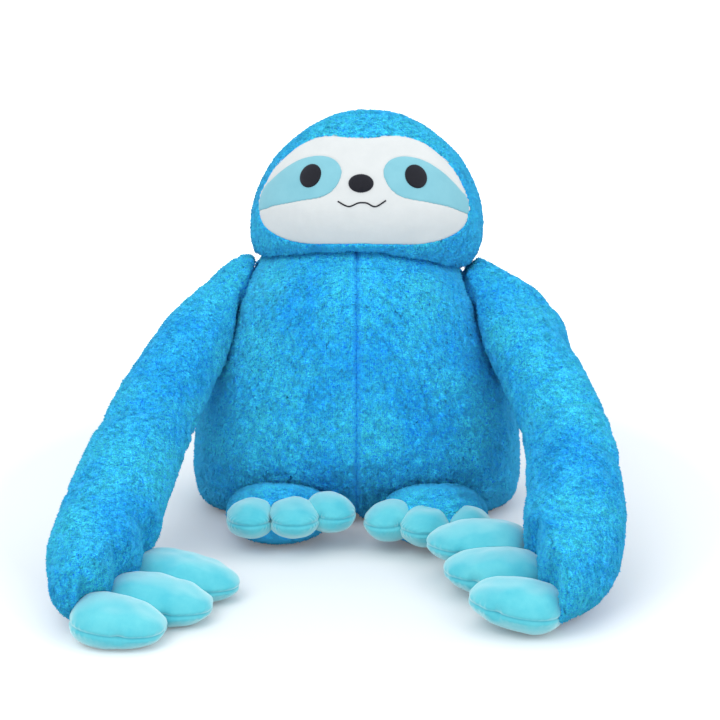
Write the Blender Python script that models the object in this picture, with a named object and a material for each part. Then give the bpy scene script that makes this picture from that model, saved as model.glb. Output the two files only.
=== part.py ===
# A jumbo plush sloth that sits on its base with its long arms laid out in front.
# It faces -Y, +Z is up, and the origin is the middle of the flat of its base.

import math

import bmesh
import bpy
from mathutils import Matrix, Vector
from mathutils.bvhtree import BVHTree

# Cloth, seams and the gaps between pieces
seat_gap = 0.0003
turning_gap = 0.0006
stuffing_gap = 0.0005
cover_thickness = 0.006
seam_thickness = 0.003
floor_flat = 0.0005
cutter_overrun = 0.03
weld_distance = 0.000005

# Body
body_half_width = 0.250
body_front_depth = 0.172
body_back_depth = 0.178
side_seam_forward = 0.012
shoulder_height = 0.300
breast_height = 0.360
round_power = 2.0
base_power = 3.0
body_width_shares = (
    (0.0, 0.90), (0.03, 0.95), (0.09, 0.985), (0.20, 1.0), (0.38, 0.985),
    (0.55, 0.955), (0.70, 0.915), (0.85, 0.845),
)
body_front_shares = (
    (0.0, 0.60), (0.03, 0.72), (0.09, 0.84), (0.18, 0.93), (0.30, 0.985),
    (0.42, 1.0), (0.60, 1.0), (0.78, 1.0),
)
body_back_shares = (
    (0.0, 0.68), (0.03, 0.78), (0.09, 0.88), (0.18, 0.96), (0.30, 1.0),
    (0.42, 1.0), (0.60, 0.98), (0.78, 0.965),
)

# Neck: the top of the body is a ball that the hollow of the head sits on
neck_pivot_height = 0.238
neck_ball_radius = 0.200
neck_seam_thickness = 0.004
neck_seam_from_angle = 9.0
neck_seam_to_angle = 15.0
neck_hollow_room = 0.0042

# Head
head_bottom = 0.335
head_top = 0.600
head_half_width = 0.174
head_front_depth = 0.140
head_back_depth = 0.138
head_side_shift = 0.015
head_top_shift = 0.002
head_power = 2.3
head_width_shares = (
    (0.0, 0.0), (0.03, 0.50), (0.08, 0.76), (0.13, 0.885), (0.19, 0.955), (0.28, 0.997),
    (0.36, 1.0), (0.455, 0.983), (0.555, 0.938), (0.69, 0.833), (0.755, 0.757),
    (0.823, 0.645), (0.89, 0.515), (0.955, 0.325), (0.985, 0.175), (1.0, 0.0),
)
head_front_shares = (
    (0.0, 0.0), (0.03, 0.40), (0.08, 0.60), (0.13, 0.71), (0.19, 0.79), (0.28, 0.885),
    (0.36, 0.955), (0.455, 1.0), (0.555, 0.985), (0.69, 0.88), (0.755, 0.80),
    (0.823, 0.685), (0.89, 0.545), (0.955, 0.345), (0.985, 0.185), (1.0, 0.0),
)
head_back_shares = (
    (0.0, 0.0), (0.03, 0.45), (0.08, 0.70), (0.13, 0.82), (0.19, 0.90), (0.28, 0.96),
    (0.36, 0.99), (0.455, 1.0), (0.555, 0.965), (0.69, 0.86), (0.755, 0.78),
    (0.823, 0.67), (0.89, 0.535), (0.955, 0.345), (0.985, 0.185), (1.0, 0.0),
)

# Face: outlines are shares of the face's half width and of its height
face_middle_x = 0.008
face_bottom = 0.425
face_half_width = 0.152
face_height = 0.142
face_cut_depth_share = 0.12
face_outline_shares = (
    (0.0, 1.0), (0.31, 1.02), (0.54, 0.955), (0.73, 0.81), (0.875, 0.64), (0.97, 0.43),
    (1.0, 0.26), (0.955, 0.12), (0.80, 0.03), (0.58, -0.015), (0.29, -0.01), (0.0, 0.0),
    (-0.29, -0.01), (-0.58, -0.015), (-0.80, 0.03), (-0.955, 0.12), (-1.0, 0.26),
    (-0.97, 0.43), (-0.875, 0.64), (-0.73, 0.81), (-0.54, 0.955), (-0.31, 1.02),
)
patch_outline_shares = (
    (0.185, 0.70), (0.24, 0.81), (0.38, 0.85), (0.58, 0.785), (0.76, 0.67), (0.91, 0.515),
    (1.08, 0.36), (1.08, 0.17), (0.93, 0.26), (0.80, 0.335), (0.58, 0.405), (0.37, 0.46),
    (0.245, 0.555),
)
eye_out_share = 0.488
eye_up_share = 0.655
eye_half_width = 0.0150
eye_half_height = 0.0172
eye_thickness = 0.0045
eye_tilt = 26.0
nose_up_share = 0.605
nose_half_width = 0.0177
nose_half_height = 0.0134
nose_thickness = 0.0065
mouth_thread_radius = 0.0017
mouth_line_shares = (
    (-0.225, 0.432), (-0.13, 0.386), (-0.045, 0.419), (0.0, 0.424), (0.045, 0.419),
    (0.12, 0.386), (0.215, 0.442),
)

# Shoulders and arms
shoulder_sink = 0.002202
shoulder_rise_angle = 24.492
shoulder_radius = 0.044
shoulder_seam_from_angle = 36.0
shoulder_seam_to_angle = 48.0
upper_out = 0.054
upper_forward = 0.085
upper_drop = 0.045
upper_radius = 0.058
elbow_side = 0.287
elbow_forward = 0.200
elbow_height = 0.192
elbow_radius = 0.064
elbow_cup_setback = 0.030
shoulder_narrow_share = 0.88
spread_clear_angles = (10.0, 20.0, 31.0)
inner_room = 0.005
wrist_forward = 0.330
wrist_height = 0.122
wrist_radius = 0.069
hand_forward = 0.435
hand_radius = 0.073
arm_end_forward = 0.500
arm_end_height = 0.066
arm_end_radius = 0.060
stuffing_hole_radius = 0.020
right_wrist_side = 0.322
right_hand_side = 0.334
right_end_side = 0.335
left_wrist_side = 0.296
left_hand_side = 0.274
left_end_side = 0.240

# Claws of the hands: where each starts inside the hand, where its tip lies, and how thick it is
hand_claw_radius = 0.036
right_far_claw_start = (-0.300, -0.385, 0.040)
right_far_claw_tip = (-0.157, -0.412, 0.026)
right_middle_claw_start = (-0.325, -0.465, 0.038)
right_middle_claw_tip = (-0.186, -0.480, 0.024)
right_front_claw_start = (-0.358, -0.528, 0.0355)
right_front_claw_tip = (-0.240, -0.550, 0.024)
left_far_claw_start = (0.232, -0.350, 0.058)
left_far_claw_tip = (0.098, -0.318, 0.054)
left_middle_claw_start = (0.250, -0.425, 0.044)
left_middle_claw_tip = (0.118, -0.378, 0.040)
left_front_claw_start = (0.262, -0.524, 0.0355)
left_front_claw_tip = (0.148, -0.478, 0.044)

# Feet, each turned about its own ankle seam at the front of the base
foot_side = 0.112
right_foot_forward = 0.180
left_foot_forward = 0.188
foot_half_width = 0.079
foot_half_length = 0.074
foot_half_height = 0.041
foot_hinge_forward = 0.105
foot_hinge_height = 0.006
foot_power = 2.2
foot_swell_power = 0.85

# Claws of the feet, outwards and forwards from the middle of the foot, and up from the floor
foot_claw_radius = 0.0315
outer_foot_claw_start = (0.036, -0.004, 0.060)
outer_foot_claw_tip = (0.042, -0.092, 0.048)
middle_foot_claw_start = (-0.022, -0.006, 0.060)
middle_foot_claw_tip = (-0.025, -0.098, 0.048)
inner_foot_claw_start = (-0.046, -0.006, 0.060)
inner_foot_claw_tip = (-0.100, -0.070, 0.050)

# Shape of a claw: how far out its skin stands along its length
claw_radius_shares = (
    (0.0, 0.0), (0.05, 0.42), (0.16, 0.76), (0.34, 0.98), (0.52, 1.0), (0.70, 0.86),
    (0.85, 0.60), (0.95, 0.30), (1.0, 0.0),
)

# Facets
body_sides = 26
body_low_rings = 8
body_top_rings = 5
ring_crowding = 1.5
head_sides = 24
head_rings = 10
inner_sides = 14
inner_rings = 6
inner_top_rings = 3
limb_resolution = 4
limb_inner_resolution = 2
limb_steps = 3
end_steps = 3
end_cap_angle = 80.0
nudge_share = 0.01
socket_sides = 16
hollow_sides = 32
ball_sides = 14
inner_ball_sides = 10
seam_sides = 26
claw_sides = 12
claw_rings = 7
foot_sides = 16
foot_rings = 8
face_detail = 2
mouth_steps = 3
mouth_resolution = 0
button_sides = 14
button_rings = 6
sharp_angle = 50.0

# Colours: linear red, green, blue and alpha
pile_colour = (0.020, 0.330, 0.810, 1.0)
claw_colour = (0.170, 0.720, 0.830, 1.0)
face_colour = (0.840, 0.850, 0.860, 1.0)
patch_colour = (0.220, 0.620, 0.740, 1.0)
thread_colour = (0.008, 0.008, 0.014, 1.0)
seam_colour = (0.015, 0.200, 0.560, 1.0)
filling_colour = (0.800, 0.800, 0.790, 1.0)


# Collections, materials and mesh tools

def clear_scene():
    for item in list(bpy.data.objects):
        bpy.data.objects.remove(item, do_unlink=True)


def new_collection(name):
    collection = bpy.data.collections.new(name)
    bpy.context.scene.collection.children.link(collection)
    return collection


def new_material(name, colour, roughness):
    material = bpy.data.materials.new(name)
    material.use_nodes = True
    shader = material.node_tree.nodes["Principled BSDF"]
    shader.inputs["Base Color"].default_value = colour
    shader.inputs["Roughness"].default_value = roughness
    shader.inputs["Metallic"].default_value = 0.0
    return material


def new_cutter(name, mesh):
    item = bpy.data.objects.new(name, mesh)
    item.display_type = "WIRE"
    item.hide_render = True
    cutters.objects.link(item)
    return item


def mesh_from(shape, name):
    bmesh.ops.recalc_face_normals(shape, faces=shape.faces)
    bmesh.ops.triangulate(shape, faces=shape.faces, quad_method="FIXED")
    mesh = bpy.data.meshes.new(name)
    shape.to_mesh(mesh)
    shape.free()
    return mesh


def copied(item, name):
    return new_cutter(name, item.data.copy())


def evaluated_mesh(item):
    bpy.context.view_layer.update()
    graph = bpy.context.evaluated_depsgraph_get()
    return bpy.data.meshes.new_from_object(item.evaluated_get(graph))


# Cuts, trims or joins the first solid with the second, and keeps the result as its mesh
def combine(item, other, operation):
    modifier = item.modifiers.new(operation.lower(), "BOOLEAN")
    modifier.operation = operation
    modifier.solver = "EXACT"
    modifier.object = other
    mesh = evaluated_mesh(item)
    item.modifiers.clear()
    shape = bmesh.new()
    shape.from_mesh(mesh)
    bmesh.ops.remove_doubles(shape, verts=shape.verts, dist=weld_distance)
    bmesh.ops.dissolve_degenerate(shape, edges=shape.edges, dist=weld_distance)
    shape.to_mesh(mesh)
    shape.free()
    item.data = mesh
    return item


def cut_by(item, *others):
    for other in others:
        combine(item, other, "DIFFERENCE")
    return item


def kept_inside(item, other):
    return combine(item, other, "INTERSECT")


# Moves the skin of a solid inwards, or outwards where the depth is negative
def drawn_in(item, depth, name):
    result = copied(item, name)
    shape = bmesh.new()
    shape.from_mesh(result.data)
    shape.normal_update()
    moves = [(vertex, vertex.normal * depth) for vertex in shape.verts]
    for vertex, move in moves:
        vertex.co -= move
    shape.to_mesh(result.data)
    shape.free()
    return result


# Presses flat what reaches below the floor
def pressed_flat(item):
    shape = bmesh.new()
    shape.from_mesh(item.data)
    cut = bmesh.ops.bisect_plane(
        shape, geom=shape.verts[:] + shape.edges[:] + shape.faces[:], dist=weld_distance,
        plane_co=Vector((0.0, 0.0, 0.0)), plane_no=Vector((0.0, 0.0, -1.0)), clear_outer=True)
    rim = [edge for edge in cut["geom_cut"] if isinstance(edge, bmesh.types.BMEdge)]
    if rim:
        bmesh.ops.edgeloop_fill(shape, edges=rim)
    bmesh.ops.recalc_face_normals(shape, faces=shape.faces)
    shape.to_mesh(item.data)
    shape.free()
    return item


# Value of a table of (place, size) shares at one place, along a smooth line through its points
def share_at(table, place):
    last = len(table) - 1
    if place <= table[0][0]:
        return table[0][1]
    if place >= table[last][0]:
        return table[last][1]
    spot = max(k for k in range(last) if table[k][0] <= place)

    def slope(k):
        low, high = max(k - 1, 0), min(k + 1, last)
        return (table[high][1] - table[low][1]) / (table[high][0] - table[low][0])

    (start, first), (stop, second) = table[spot], table[spot + 1]
    span = stop - start
    t = (place - start) / span
    rise = (2 * t**3 - 3 * t**2 + 1) * first + (3 * t**2 - 2 * t**3) * second
    return rise + span * ((t**3 - 2 * t**2 + t) * slope(spot) + (t**3 - t**2) * slope(spot + 1))


# Point on a smooth line through a list of points, counted from point to point
def point_on(points, place):
    spot = min(int(place), len(points) - 2)
    t = place - spot
    before = points[max(spot - 1, 0)]
    start, stop = points[spot], points[spot + 1]
    after = points[min(spot + 2, len(points) - 1)]
    lead, follow = (stop - before) / 2, (after - start) / 2
    smooth = start * (2 * t**3 - 3 * t**2 + 1) + stop * (3 * t**2 - 2 * t**3)
    return smooth + lead * (t**3 - 2 * t**2 + t) + follow * (t**3 - t**2)


# A ball whose rings are moved out to the sizes of a stuffed piece, from its bottom to its top.
# Each ring is its middle, half width, depth to the front, depth to the back and squareness.
def swelled_ball(name, sides, rings):
    shape = bmesh.new()
    bmesh.ops.create_uvsphere(shape, u_segments=sides, v_segments=len(rings) - 1, radius=1.0)
    for vertex in shape.verts:
        level = (1.0 - math.acos(max(-1.0, min(1.0, vertex.co.z))) / math.pi) * (len(rings) - 1)
        middle, width, front, back, power = rings[round(level)]
        turn = math.atan2(vertex.co.y, vertex.co.x)
        out, along = math.cos(turn), math.sin(turn)
        depth = front if along < 0.0 else back
        vertex.co = middle + Vector((
            width * math.copysign(abs(out) ** (2.0 / power), out),
            depth * math.copysign(abs(along) ** (2.0 / power), along),
            0.0))
    return new_cutter(name, mesh_from(shape, name))


def plain_ball(name, middle, radius, sides, rings):
    shape = bmesh.new()
    bmesh.ops.create_uvsphere(shape, u_segments=sides, v_segments=rings, radius=radius)
    bmesh.ops.translate(shape, verts=shape.verts, vec=middle)
    return new_cutter(name, mesh_from(shape, name))


# A ball-shaped socket whose flattest facet still clears the radius asked for
def socket_ball(name, middle, clear_radius, sides):
    radius = clear_radius / math.cos(math.pi / sides) ** 2
    return plain_ball(name, middle, radius, sides, sides // 2)


def box_between(name, low, high):
    shape = bmesh.new()
    bmesh.ops.create_cube(shape, size=1.0)
    size = Vector(high) - Vector(low)
    bmesh.ops.scale(shape, verts=shape.verts, vec=size)
    bmesh.ops.translate(shape, verts=shape.verts, vec=(Vector(high) + Vector(low)) / 2)
    return new_cutter(name, mesh_from(shape, name))


# A tube swept through rings of (middle, radius), as one closed skin
def swept_tube(name, rings, resolution):
    curve = bpy.data.curves.new(name, "CURVE")
    curve.dimensions = "3D"
    curve.bevel_depth = 1.0
    curve.bevel_resolution = resolution
    curve.use_fill_caps = True
    spline = curve.splines.new("POLY")
    spline.points.add(len(rings) - 1)
    for point, (middle, radius) in zip(spline.points, rings):
        point.co = (*middle, 1.0)
        point.radius = radius
    guide = bpy.data.objects.new(name + "_guide", curve)
    cutters.objects.link(guide)
    mesh = evaluated_mesh(guide)
    bpy.data.objects.remove(guide, do_unlink=True)
    shape = bmesh.new()
    shape.from_mesh(mesh)
    bmesh.ops.remove_doubles(shape, verts=shape.verts, dist=weld_distance)
    return new_cutter(name, mesh_from(shape, name))


# A flat outline stood up in the XZ plane and drawn through from one depth to another
def standing_outline(name, points, near, far):
    curve = bpy.data.curves.new(name, "CURVE")
    curve.dimensions = "2D"
    curve.fill_mode = "BOTH"
    curve.extrude = (far - near) / 2
    spline = curve.splines.new("POLY")
    spline.points.add(len(points) - 1)
    for point, (across, up) in zip(spline.points, points):
        point.co = (across, up, 0.0, 1.0)
    spline.use_cyclic_u = True
    guide = bpy.data.objects.new(name + "_guide", curve)
    cutters.objects.link(guide)
    mesh = evaluated_mesh(guide)
    bpy.data.objects.remove(guide, do_unlink=True)
    shape = bmesh.new()
    shape.from_mesh(mesh)
    bmesh.ops.remove_doubles(shape, verts=shape.verts, dist=weld_distance)
    stand = Matrix.Translation((0.0, (far + near) / 2, 0.0)) @ Matrix.Rotation(math.pi / 2, 4, "X")
    bmesh.ops.transform(shape, matrix=stand, verts=shape.verts)
    return new_cutter(name, mesh_from(shape, name))


# Body

neck_pivot = Vector((0.0, 0.0, neck_pivot_height))


def neck_ball_half_width(height):
    return math.sqrt(max(neck_ball_radius**2 - (height - neck_pivot_height) ** 2, 0.0))


def body_side(height, top, table, size):
    if height >= top:
        return neck_ball_half_width(height)
    closing = (*table, (1.0, neck_ball_half_width(top) / size))
    return size * share_at(closing, height / top)


def body_ring(height):
    near_floor = 1.0 - min(max(height, 0.0) / shoulder_height, 1.0)
    return (
        Vector((0.0, 0.0, height)),
        body_side(height, shoulder_height, body_width_shares, body_half_width),
        body_side(height, breast_height, body_front_shares, body_front_depth),
        body_side(height, breast_height, body_back_shares, body_back_depth),
        round_power + (base_power - round_power) * near_floor)


def body_form(name, sides, low_rings, top_rings):
    rings = [(Vector((0.0, 0.0, -floor_flat)), 0.0, 0.0, 0.0, round_power)]
    for k in range(low_rings):
        rings.append(body_ring(shoulder_height * (k / low_rings) ** ring_crowding - floor_flat * (k == 0)))
    first_angle = math.acos((shoulder_height - neck_pivot_height) / neck_ball_radius)
    for k in range(top_rings + 1):
        angle = first_angle * (1.0 - k / (top_rings + 1))
        rings.append(body_ring(neck_pivot_height + neck_ball_radius * math.cos(angle)))
    top = neck_pivot_height + neck_ball_radius
    rings.append((Vector((0.0, 0.0, top)), 0.0, 0.0, 0.0, round_power))
    return swelled_ball(name, sides, rings)


def build_body():
    inner = drawn_in(body_inner, cover_thickness, "body_inside")
    shell = cut_by(copied(body_skin, "body_shell"), inner)
    cut_by(shell, *shoulder_sockets)
    reach = body_half_width + cutter_overrun
    top = neck_pivot_height + neck_ball_radius + cutter_overrun
    half_gap, seam = seat_gap / 2, side_seam_forward
    panels = {
        "body_front_left": ((half_gap, -reach, -cutter_overrun), (reach, -seam - half_gap, top)),
        "body_front_right": (
            (-reach, -reach, -cutter_overrun), (-half_gap, -seam - half_gap, top)),
        "body_back": ((-reach, -seam + half_gap, -cutter_overrun), (reach, reach, top)),
    }
    for name, (low, high) in panels.items():
        panel = copied(shell, name + "_cut")
        kept_inside(panel, box_between(name + "_side", low, high))
        keep_part(panel, name, pile, "torso")
    filling = drawn_in(body_inner, cover_thickness + stuffing_gap, "body_stuffing")
    cut_by(filling, *shoulder_sockets)
    keep_part(filling, "body_filling", stuffing, "torso")


# A ring cut from a ball-shaped skin, between two angles from its axis, for a folded seam
def seam_ring(name, pivot, ball_radius, thickness, from_angle, to_angle, axis):
    inner_radius = ball_radius + turning_gap
    outer_radius = inner_radius + thickness
    corners = [
        (outer_radius, from_angle), (outer_radius, to_angle),
        (inner_radius, to_angle), (inner_radius, from_angle)]
    shape = bmesh.new()
    points = []
    for radius, angle in corners:
        around, along = math.sin(math.radians(angle)), math.cos(math.radians(angle))
        points.append(shape.verts.new((radius * around, 0.0, radius * along)))
    edges = [shape.edges.new((points[k], points[(k + 1) % 4])) for k in range(4)]
    bmesh.ops.spin(
        shape, geom=points + edges, cent=(0.0, 0.0, 0.0), axis=(0.0, 0.0, 1.0),
        angle=2.0 * math.pi, steps=seam_sides, use_merge=True, use_duplicate=False)
    bmesh.ops.remove_doubles(shape, verts=shape.verts, dist=weld_distance)
    turn = Vector((0.0, 0.0, 1.0)).rotation_difference(axis).to_matrix().to_4x4()
    bmesh.ops.transform(shape, matrix=Matrix.Translation(pivot) @ turn, verts=shape.verts)
    return new_cutter(name, mesh_from(shape, name))


# Head

def head_ring(share):
    height = head_bottom + (head_top - head_bottom) * share
    width = share_at(head_width_shares, share)
    front = share_at(head_front_shares, share)
    back = share_at(head_back_shares, share)
    shift = head_side_shift + head_top_shift * share**2
    return (
        Vector((shift, 0.0, height)), head_half_width * width, head_front_depth * front,
        head_back_depth * back, head_power)


def head_form(name, sides, ring_count):
    rings = []
    for k in range(ring_count + 2):
        share = (1.0 - math.cos(math.pi * k / (ring_count + 1))) / 2
        rings.append(head_ring(share))
    return swelled_ball(name, sides, rings)


def face_point(across_share, up_share):
    return (face_middle_x + face_half_width * across_share, face_bottom + face_height * up_share)


# The outline of shares on the face, smoothed, mirrored for the toy's right side, and grown a little
def face_outline(shares, side, grown):
    loop = [Vector((side * across, up)) for across, up in shares]
    closed = loop[-1:] + loop + loop[:2]
    points = []
    for k in range(len(loop) * face_detail):
        points.append(Vector(face_point(*point_on(closed, 1 + k / face_detail))))
    turning = sum(points[k - 1].cross(points[k]) for k in range(len(points)))
    outline = []
    for k, point in enumerate(points):
        along = (points[(k + 1) % len(points)] - points[k - 1]).normalized()
        away = Vector((along.y, -along.x)) * math.copysign(grown, turning)
        outline.append(point + away)
    return outline


def face_cutter(name, shares, side, grown):
    near = -head_front_depth - cutter_overrun
    far = -head_front_depth * face_cut_depth_share + grown
    return standing_outline(name, face_outline(shares, side, grown), near, far)


# Where a line straight back from in front meets the skin of the head
def on_face(across, up):
    ahead = Vector((across, -head_front_depth - cutter_overrun, up))
    place, normal, _, _ = face_tree.ray_cast(ahead, Vector((0.0, 1.0, 0.0)))
    return place, normal


def face_button(name, place_shares, half_width, half_height, thickness, tilt):
    place, normal = on_face(*face_point(*place_shares))
    shape = bmesh.new()
    bmesh.ops.create_uvsphere(shape, u_segments=button_sides, v_segments=button_rings, radius=1.0)
    size = Matrix.Diagonal((half_width, half_height, thickness, 1.0))
    spin = Matrix.Rotation(math.radians(tilt), 4, "Z")
    face_turn = normal.to_track_quat("Z", "Y").to_matrix().to_4x4()
    bmesh.ops.transform(
        shape, matrix=Matrix.Translation(place) @ face_turn @ spin @ size, verts=shape.verts)
    button = new_cutter(name + "_button", mesh_from(shape, name))
    cut_by(button, head_grown)
    keep_part(button, name, thread, "head")


def mouth_line():
    lift = mouth_thread_radius + seat_gap
    shares = [Vector(point) for point in mouth_line_shares]
    rings = []
    for k in range((len(shares) - 1) * mouth_steps + 1):
        place, normal = on_face(*face_point(*point_on(shares, k / mouth_steps)))
        rings.append((place + normal * lift, mouth_thread_radius))
    return swept_tube("mouth_line", rings, mouth_resolution)


def build_head():
    hollow = socket_ball("neck_hollow", neck_pivot, neck_hollow_radius, hollow_sides)
    inner = drawn_in(head_inner, cover_thickness, "head_inside")
    shell = cut_by(copied(head_skin, "head_shell"), inner, hollow)

    hood = cut_by(copied(shell, "hood_cut"), face_cutter("hood_edge", face_outline_shares, 1, seat_gap))
    keep_part(hood, "head_hood", pile, "head")

    face = kept_inside(copied(shell, "face_cut"), face_cutter("face_edge", face_outline_shares, 1, 0.0))
    patches = {"eye_patch_left": 1, "eye_patch_right": -1}
    for name, side in patches.items():
        patch = copied(face, name + "_cut")
        kept_inside(patch, face_cutter(name + "_edge", patch_outline_shares, side, 0.0))
        keep_part(patch, name, patch_cloth, "head")
    for name, side in patches.items():
        cut_by(face, face_cutter(name + "_hole", patch_outline_shares, side, seat_gap))
    keep_part(face, "face_panel", face_cloth, "head")

    for name, side in (("eye_left", 1), ("eye_right", -1)):
        face_button(
            name, (side * eye_out_share, eye_up_share), eye_half_width, eye_half_height,
            eye_thickness, side * eye_tilt)
    face_button("nose", (0.0, nose_up_share), nose_half_width, nose_half_height, nose_thickness, 0.0)
    keep_part(mouth_line(), "mouth_stitching", thread, "head")

    filling = drawn_in(head_inner, cover_thickness + stuffing_gap, "head_stuffing")
    cut_by(filling, hollow)
    keep_part(filling, "head_filling", stuffing, "head")


# Arms

# The shoulder turns about a place just inside the ball at the top of the body
def shoulder_place(side):
    reach = neck_ball_radius - shoulder_sink
    rise = math.radians(shoulder_rise_angle)
    return side * reach * math.cos(rise), 0.0, neck_pivot_height + reach * math.sin(rise)


def arm_stations(side, wrist_side, hand_side, end_side):
    hand_height = hand_radius - floor_flat
    shoulder = Vector(shoulder_place(side))
    places = (
        shoulder, shoulder + Vector((side * upper_out, -upper_forward, -upper_drop)),
        (side * elbow_side, -elbow_forward, elbow_height),
        (side * wrist_side, -wrist_forward, wrist_height),
        (side * hand_side, -hand_forward, hand_height),
        (side * end_side, -arm_end_forward, arm_end_height))
    radii = (
        shoulder_radius, upper_radius, elbow_radius, wrist_radius, hand_radius, arm_end_radius)
    return [Vector(place) for place in places], [Vector((radius, 0.0)) for radius in radii]


# The arm's stations, from its shoulder to the end of its hand
station_names = ("shoulder", "upper", "elbow", "wrist", "hand", "end")
elbow_station = station_names.index("elbow")


# Rings of the arm's route from one station to another
def arm_rings(stations, first, last, inset, steps):
    places, radii = stations
    count = (last - first) * steps
    rings = []
    for k in range(count + 1):
        at = first + k / steps
        rings.append((point_on(places, at), point_on(radii, at).x - inset))
    return rings


def ball_end(middle, direction, radius, steps):
    rings = []
    for k in range(steps):
        angle = math.radians(end_cap_angle) * (1.0 - k / steps)
        rings.append((middle - direction * radius * math.sin(angle), radius * math.cos(angle)))
    return rings


def route_direction(stations, at):
    places, _ = stations
    low, high = max(at - nudge_share, 0.0), min(at + nudge_share, len(places) - 1)
    return (point_on(places, high) - point_on(places, low)).normalized()


# From inside the ball at the shoulder to just past the elbow
def upper_arm_form(name, stations, inset, resolution):
    rings = arm_rings(stations, 0, elbow_station, inset, limb_steps)
    rings[0] = (rings[0][0], rings[0][1] * shoulder_narrow_share)
    past = rings[-1][0] + route_direction(stations, elbow_station) * cutter_overrun
    return swept_tube(name, rings + [(past, rings[-1][1])], resolution)


# From the ball at the elbow to the round end of the hand
def forearm_form(name, stations, inset, resolution):
    last = len(stations[0]) - 1
    rings = arm_rings(stations, elbow_station, last, inset, limb_steps)
    start = ball_end(rings[0][0], route_direction(stations, elbow_station), rings[0][1], end_steps)
    finish = ball_end(rings[-1][0], -route_direction(stations, last), rings[-1][1], end_steps)
    return pressed_flat(swept_tube(name, start + rings + finish[::-1], resolution))


# An arm tube trimmed by the body, with the ball that turns in the shoulder
def shouldered(tube, body_room, ball_radius, ball_sides, stations):
    ball = plain_ball(tube.name + "_ball", stations[0][0], ball_radius, ball_sides, ball_sides // 2)
    return combine(cut_by(tube, *body_room), ball, "UNION")


# The body as a moving arm meets it: turned the other way about the shoulder
def body_met_by_arm(side_name, shoulder):
    side = math.copysign(1.0, shoulder.x)
    bodies = [drawn_in(body_skin, -turning_gap, "body_still_" + side_name)]
    for angle in spread_clear_angles:
        body = copied(bodies[0], f"body_at_{side_name}_{angle}")
        turn = Matrix.Rotation(math.radians(side * angle), 4, "Y")
        body.data.transform(Matrix.Translation(shoulder) @ turn @ Matrix.Translation(-shoulder))
        bodies.append(body)
    return bodies


def build_upper_arm(side_name, stations):
    shoulder_size = stations[1][0].x
    elbow, elbow_size = stations[0][elbow_station], stations[1][elbow_station].x
    elbow_socket = socket_ball(
        "elbow_socket_" + side_name, elbow, elbow_size + turning_gap, socket_sides)
    skin = upper_arm_form("upper_arm_skin_" + side_name, stations, 0.0, limb_resolution)
    bodies = body_met_by_arm(side_name, stations[0][0])
    shouldered(skin, bodies, shoulder_size, ball_sides, stations)
    inside = upper_arm_form(
        "upper_arm_inside_" + side_name, stations, cover_thickness, limb_inner_resolution)
    shouldered(
        inside, [drawn_in(body, -cover_thickness, body.name + "_near") for body in bodies],
        shoulder_size - cover_thickness, inner_ball_sides, stations)
    depth = cover_thickness + stuffing_gap
    filling = upper_arm_form(
        "upper_arm_stuffing_" + side_name, stations, depth, limb_inner_resolution)
    shouldered(
        filling, [drawn_in(body, -depth, body.name + "_clear") for body in bodies],
        shoulder_size - depth, inner_ball_sides, stations)
    cut_by(filling, beyond_rim(filling.name, stations), elbow_socket)
    cover = cut_by(skin, inside, beyond_rim(skin.name, stations), elbow_socket)
    keep_part(cover, "upper_arm_cover_" + side_name, pile, "upper_arm_" + side_name)
    keep_part(filling, "upper_arm_filling_" + side_name, stuffing, "upper_arm_" + side_name)


# What lies past the rim of the elbow's cup
def beyond_rim(name, stations):
    elbow, size = stations[0][elbow_station], stations[1][elbow_station].x
    along = route_direction(stations, elbow_station)
    rim = elbow - along * elbow_cup_setback
    far = elbow + along * (size + cutter_overrun)
    width = size + cutter_overrun
    return swept_tube(name + "_beyond", [(rim, width), (far, width)], limb_inner_resolution)


def build_forearm(side_name, stations, claws):
    body_name = "forearm_" + side_name
    skin = forearm_form("forearm_skin_" + side_name, stations, 0.0, limb_resolution)
    grown = drawn_in(skin, -seat_gap, "forearm_grown_" + side_name)
    build_claws("hand_claw_" + side_name, claws, hand_claw_radius, [grown], body_name)
    inside = forearm_form(
        "forearm_inside_" + side_name, stations, cover_thickness, limb_inner_resolution)
    raise_off_floor(inside, cover_thickness)
    elbow, radius = stations[0][elbow_station], stations[1][elbow_station].x
    along = route_direction(stations, elbow_station)
    hole = swept_tube(
        "stuffing_hole_" + side_name,
        [(elbow - along * (radius + cutter_overrun), stuffing_hole_radius),
         (elbow, stuffing_hole_radius)], limb_inner_resolution)
    cover = cut_by(skin, inside, hole)
    keep_part(cover, "forearm_cover_" + side_name, pile, body_name)
    filling = forearm_form(
        "forearm_stuffing_" + side_name, stations, cover_thickness + stuffing_gap,
        limb_inner_resolution)
    raise_off_floor(filling, cover_thickness + stuffing_gap)
    keep_part(filling, "forearm_filling_" + side_name, stuffing, body_name)


# Takes away what lies within a height of the floor, inside a cover that is flat there
def raise_off_floor(item, height):
    places = [item.matrix_world @ vertex.co for vertex in item.data.vertices]
    low = [min(place[k] for place in places) - cutter_overrun for k in range(3)]
    high = [max(place[k] for place in places) + cutter_overrun for k in range(2)]
    return cut_by(item, box_between(item.name + "_floor", low, high + [height]))


# Claws

def claw_form(name, start, tip, radius):
    start, tip = Vector(start), Vector(tip)
    length = (tip - start).length
    rings = []
    for k in range(claw_rings + 1):
        share = (1.0 - math.cos(math.pi * k / claw_rings)) / 2
        out = radius * share_at(claw_radius_shares, share)
        rings.append((Vector((0.0, 0.0, length * share)), out, out, out, round_power))
    claw = swelled_ball(name, claw_sides, rings)
    turn = (tip - start).to_track_quat("Z", "Y").to_matrix().to_4x4()
    claw.data.transform(Matrix.Translation(start) @ turn)
    return pressed_flat(claw)


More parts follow.
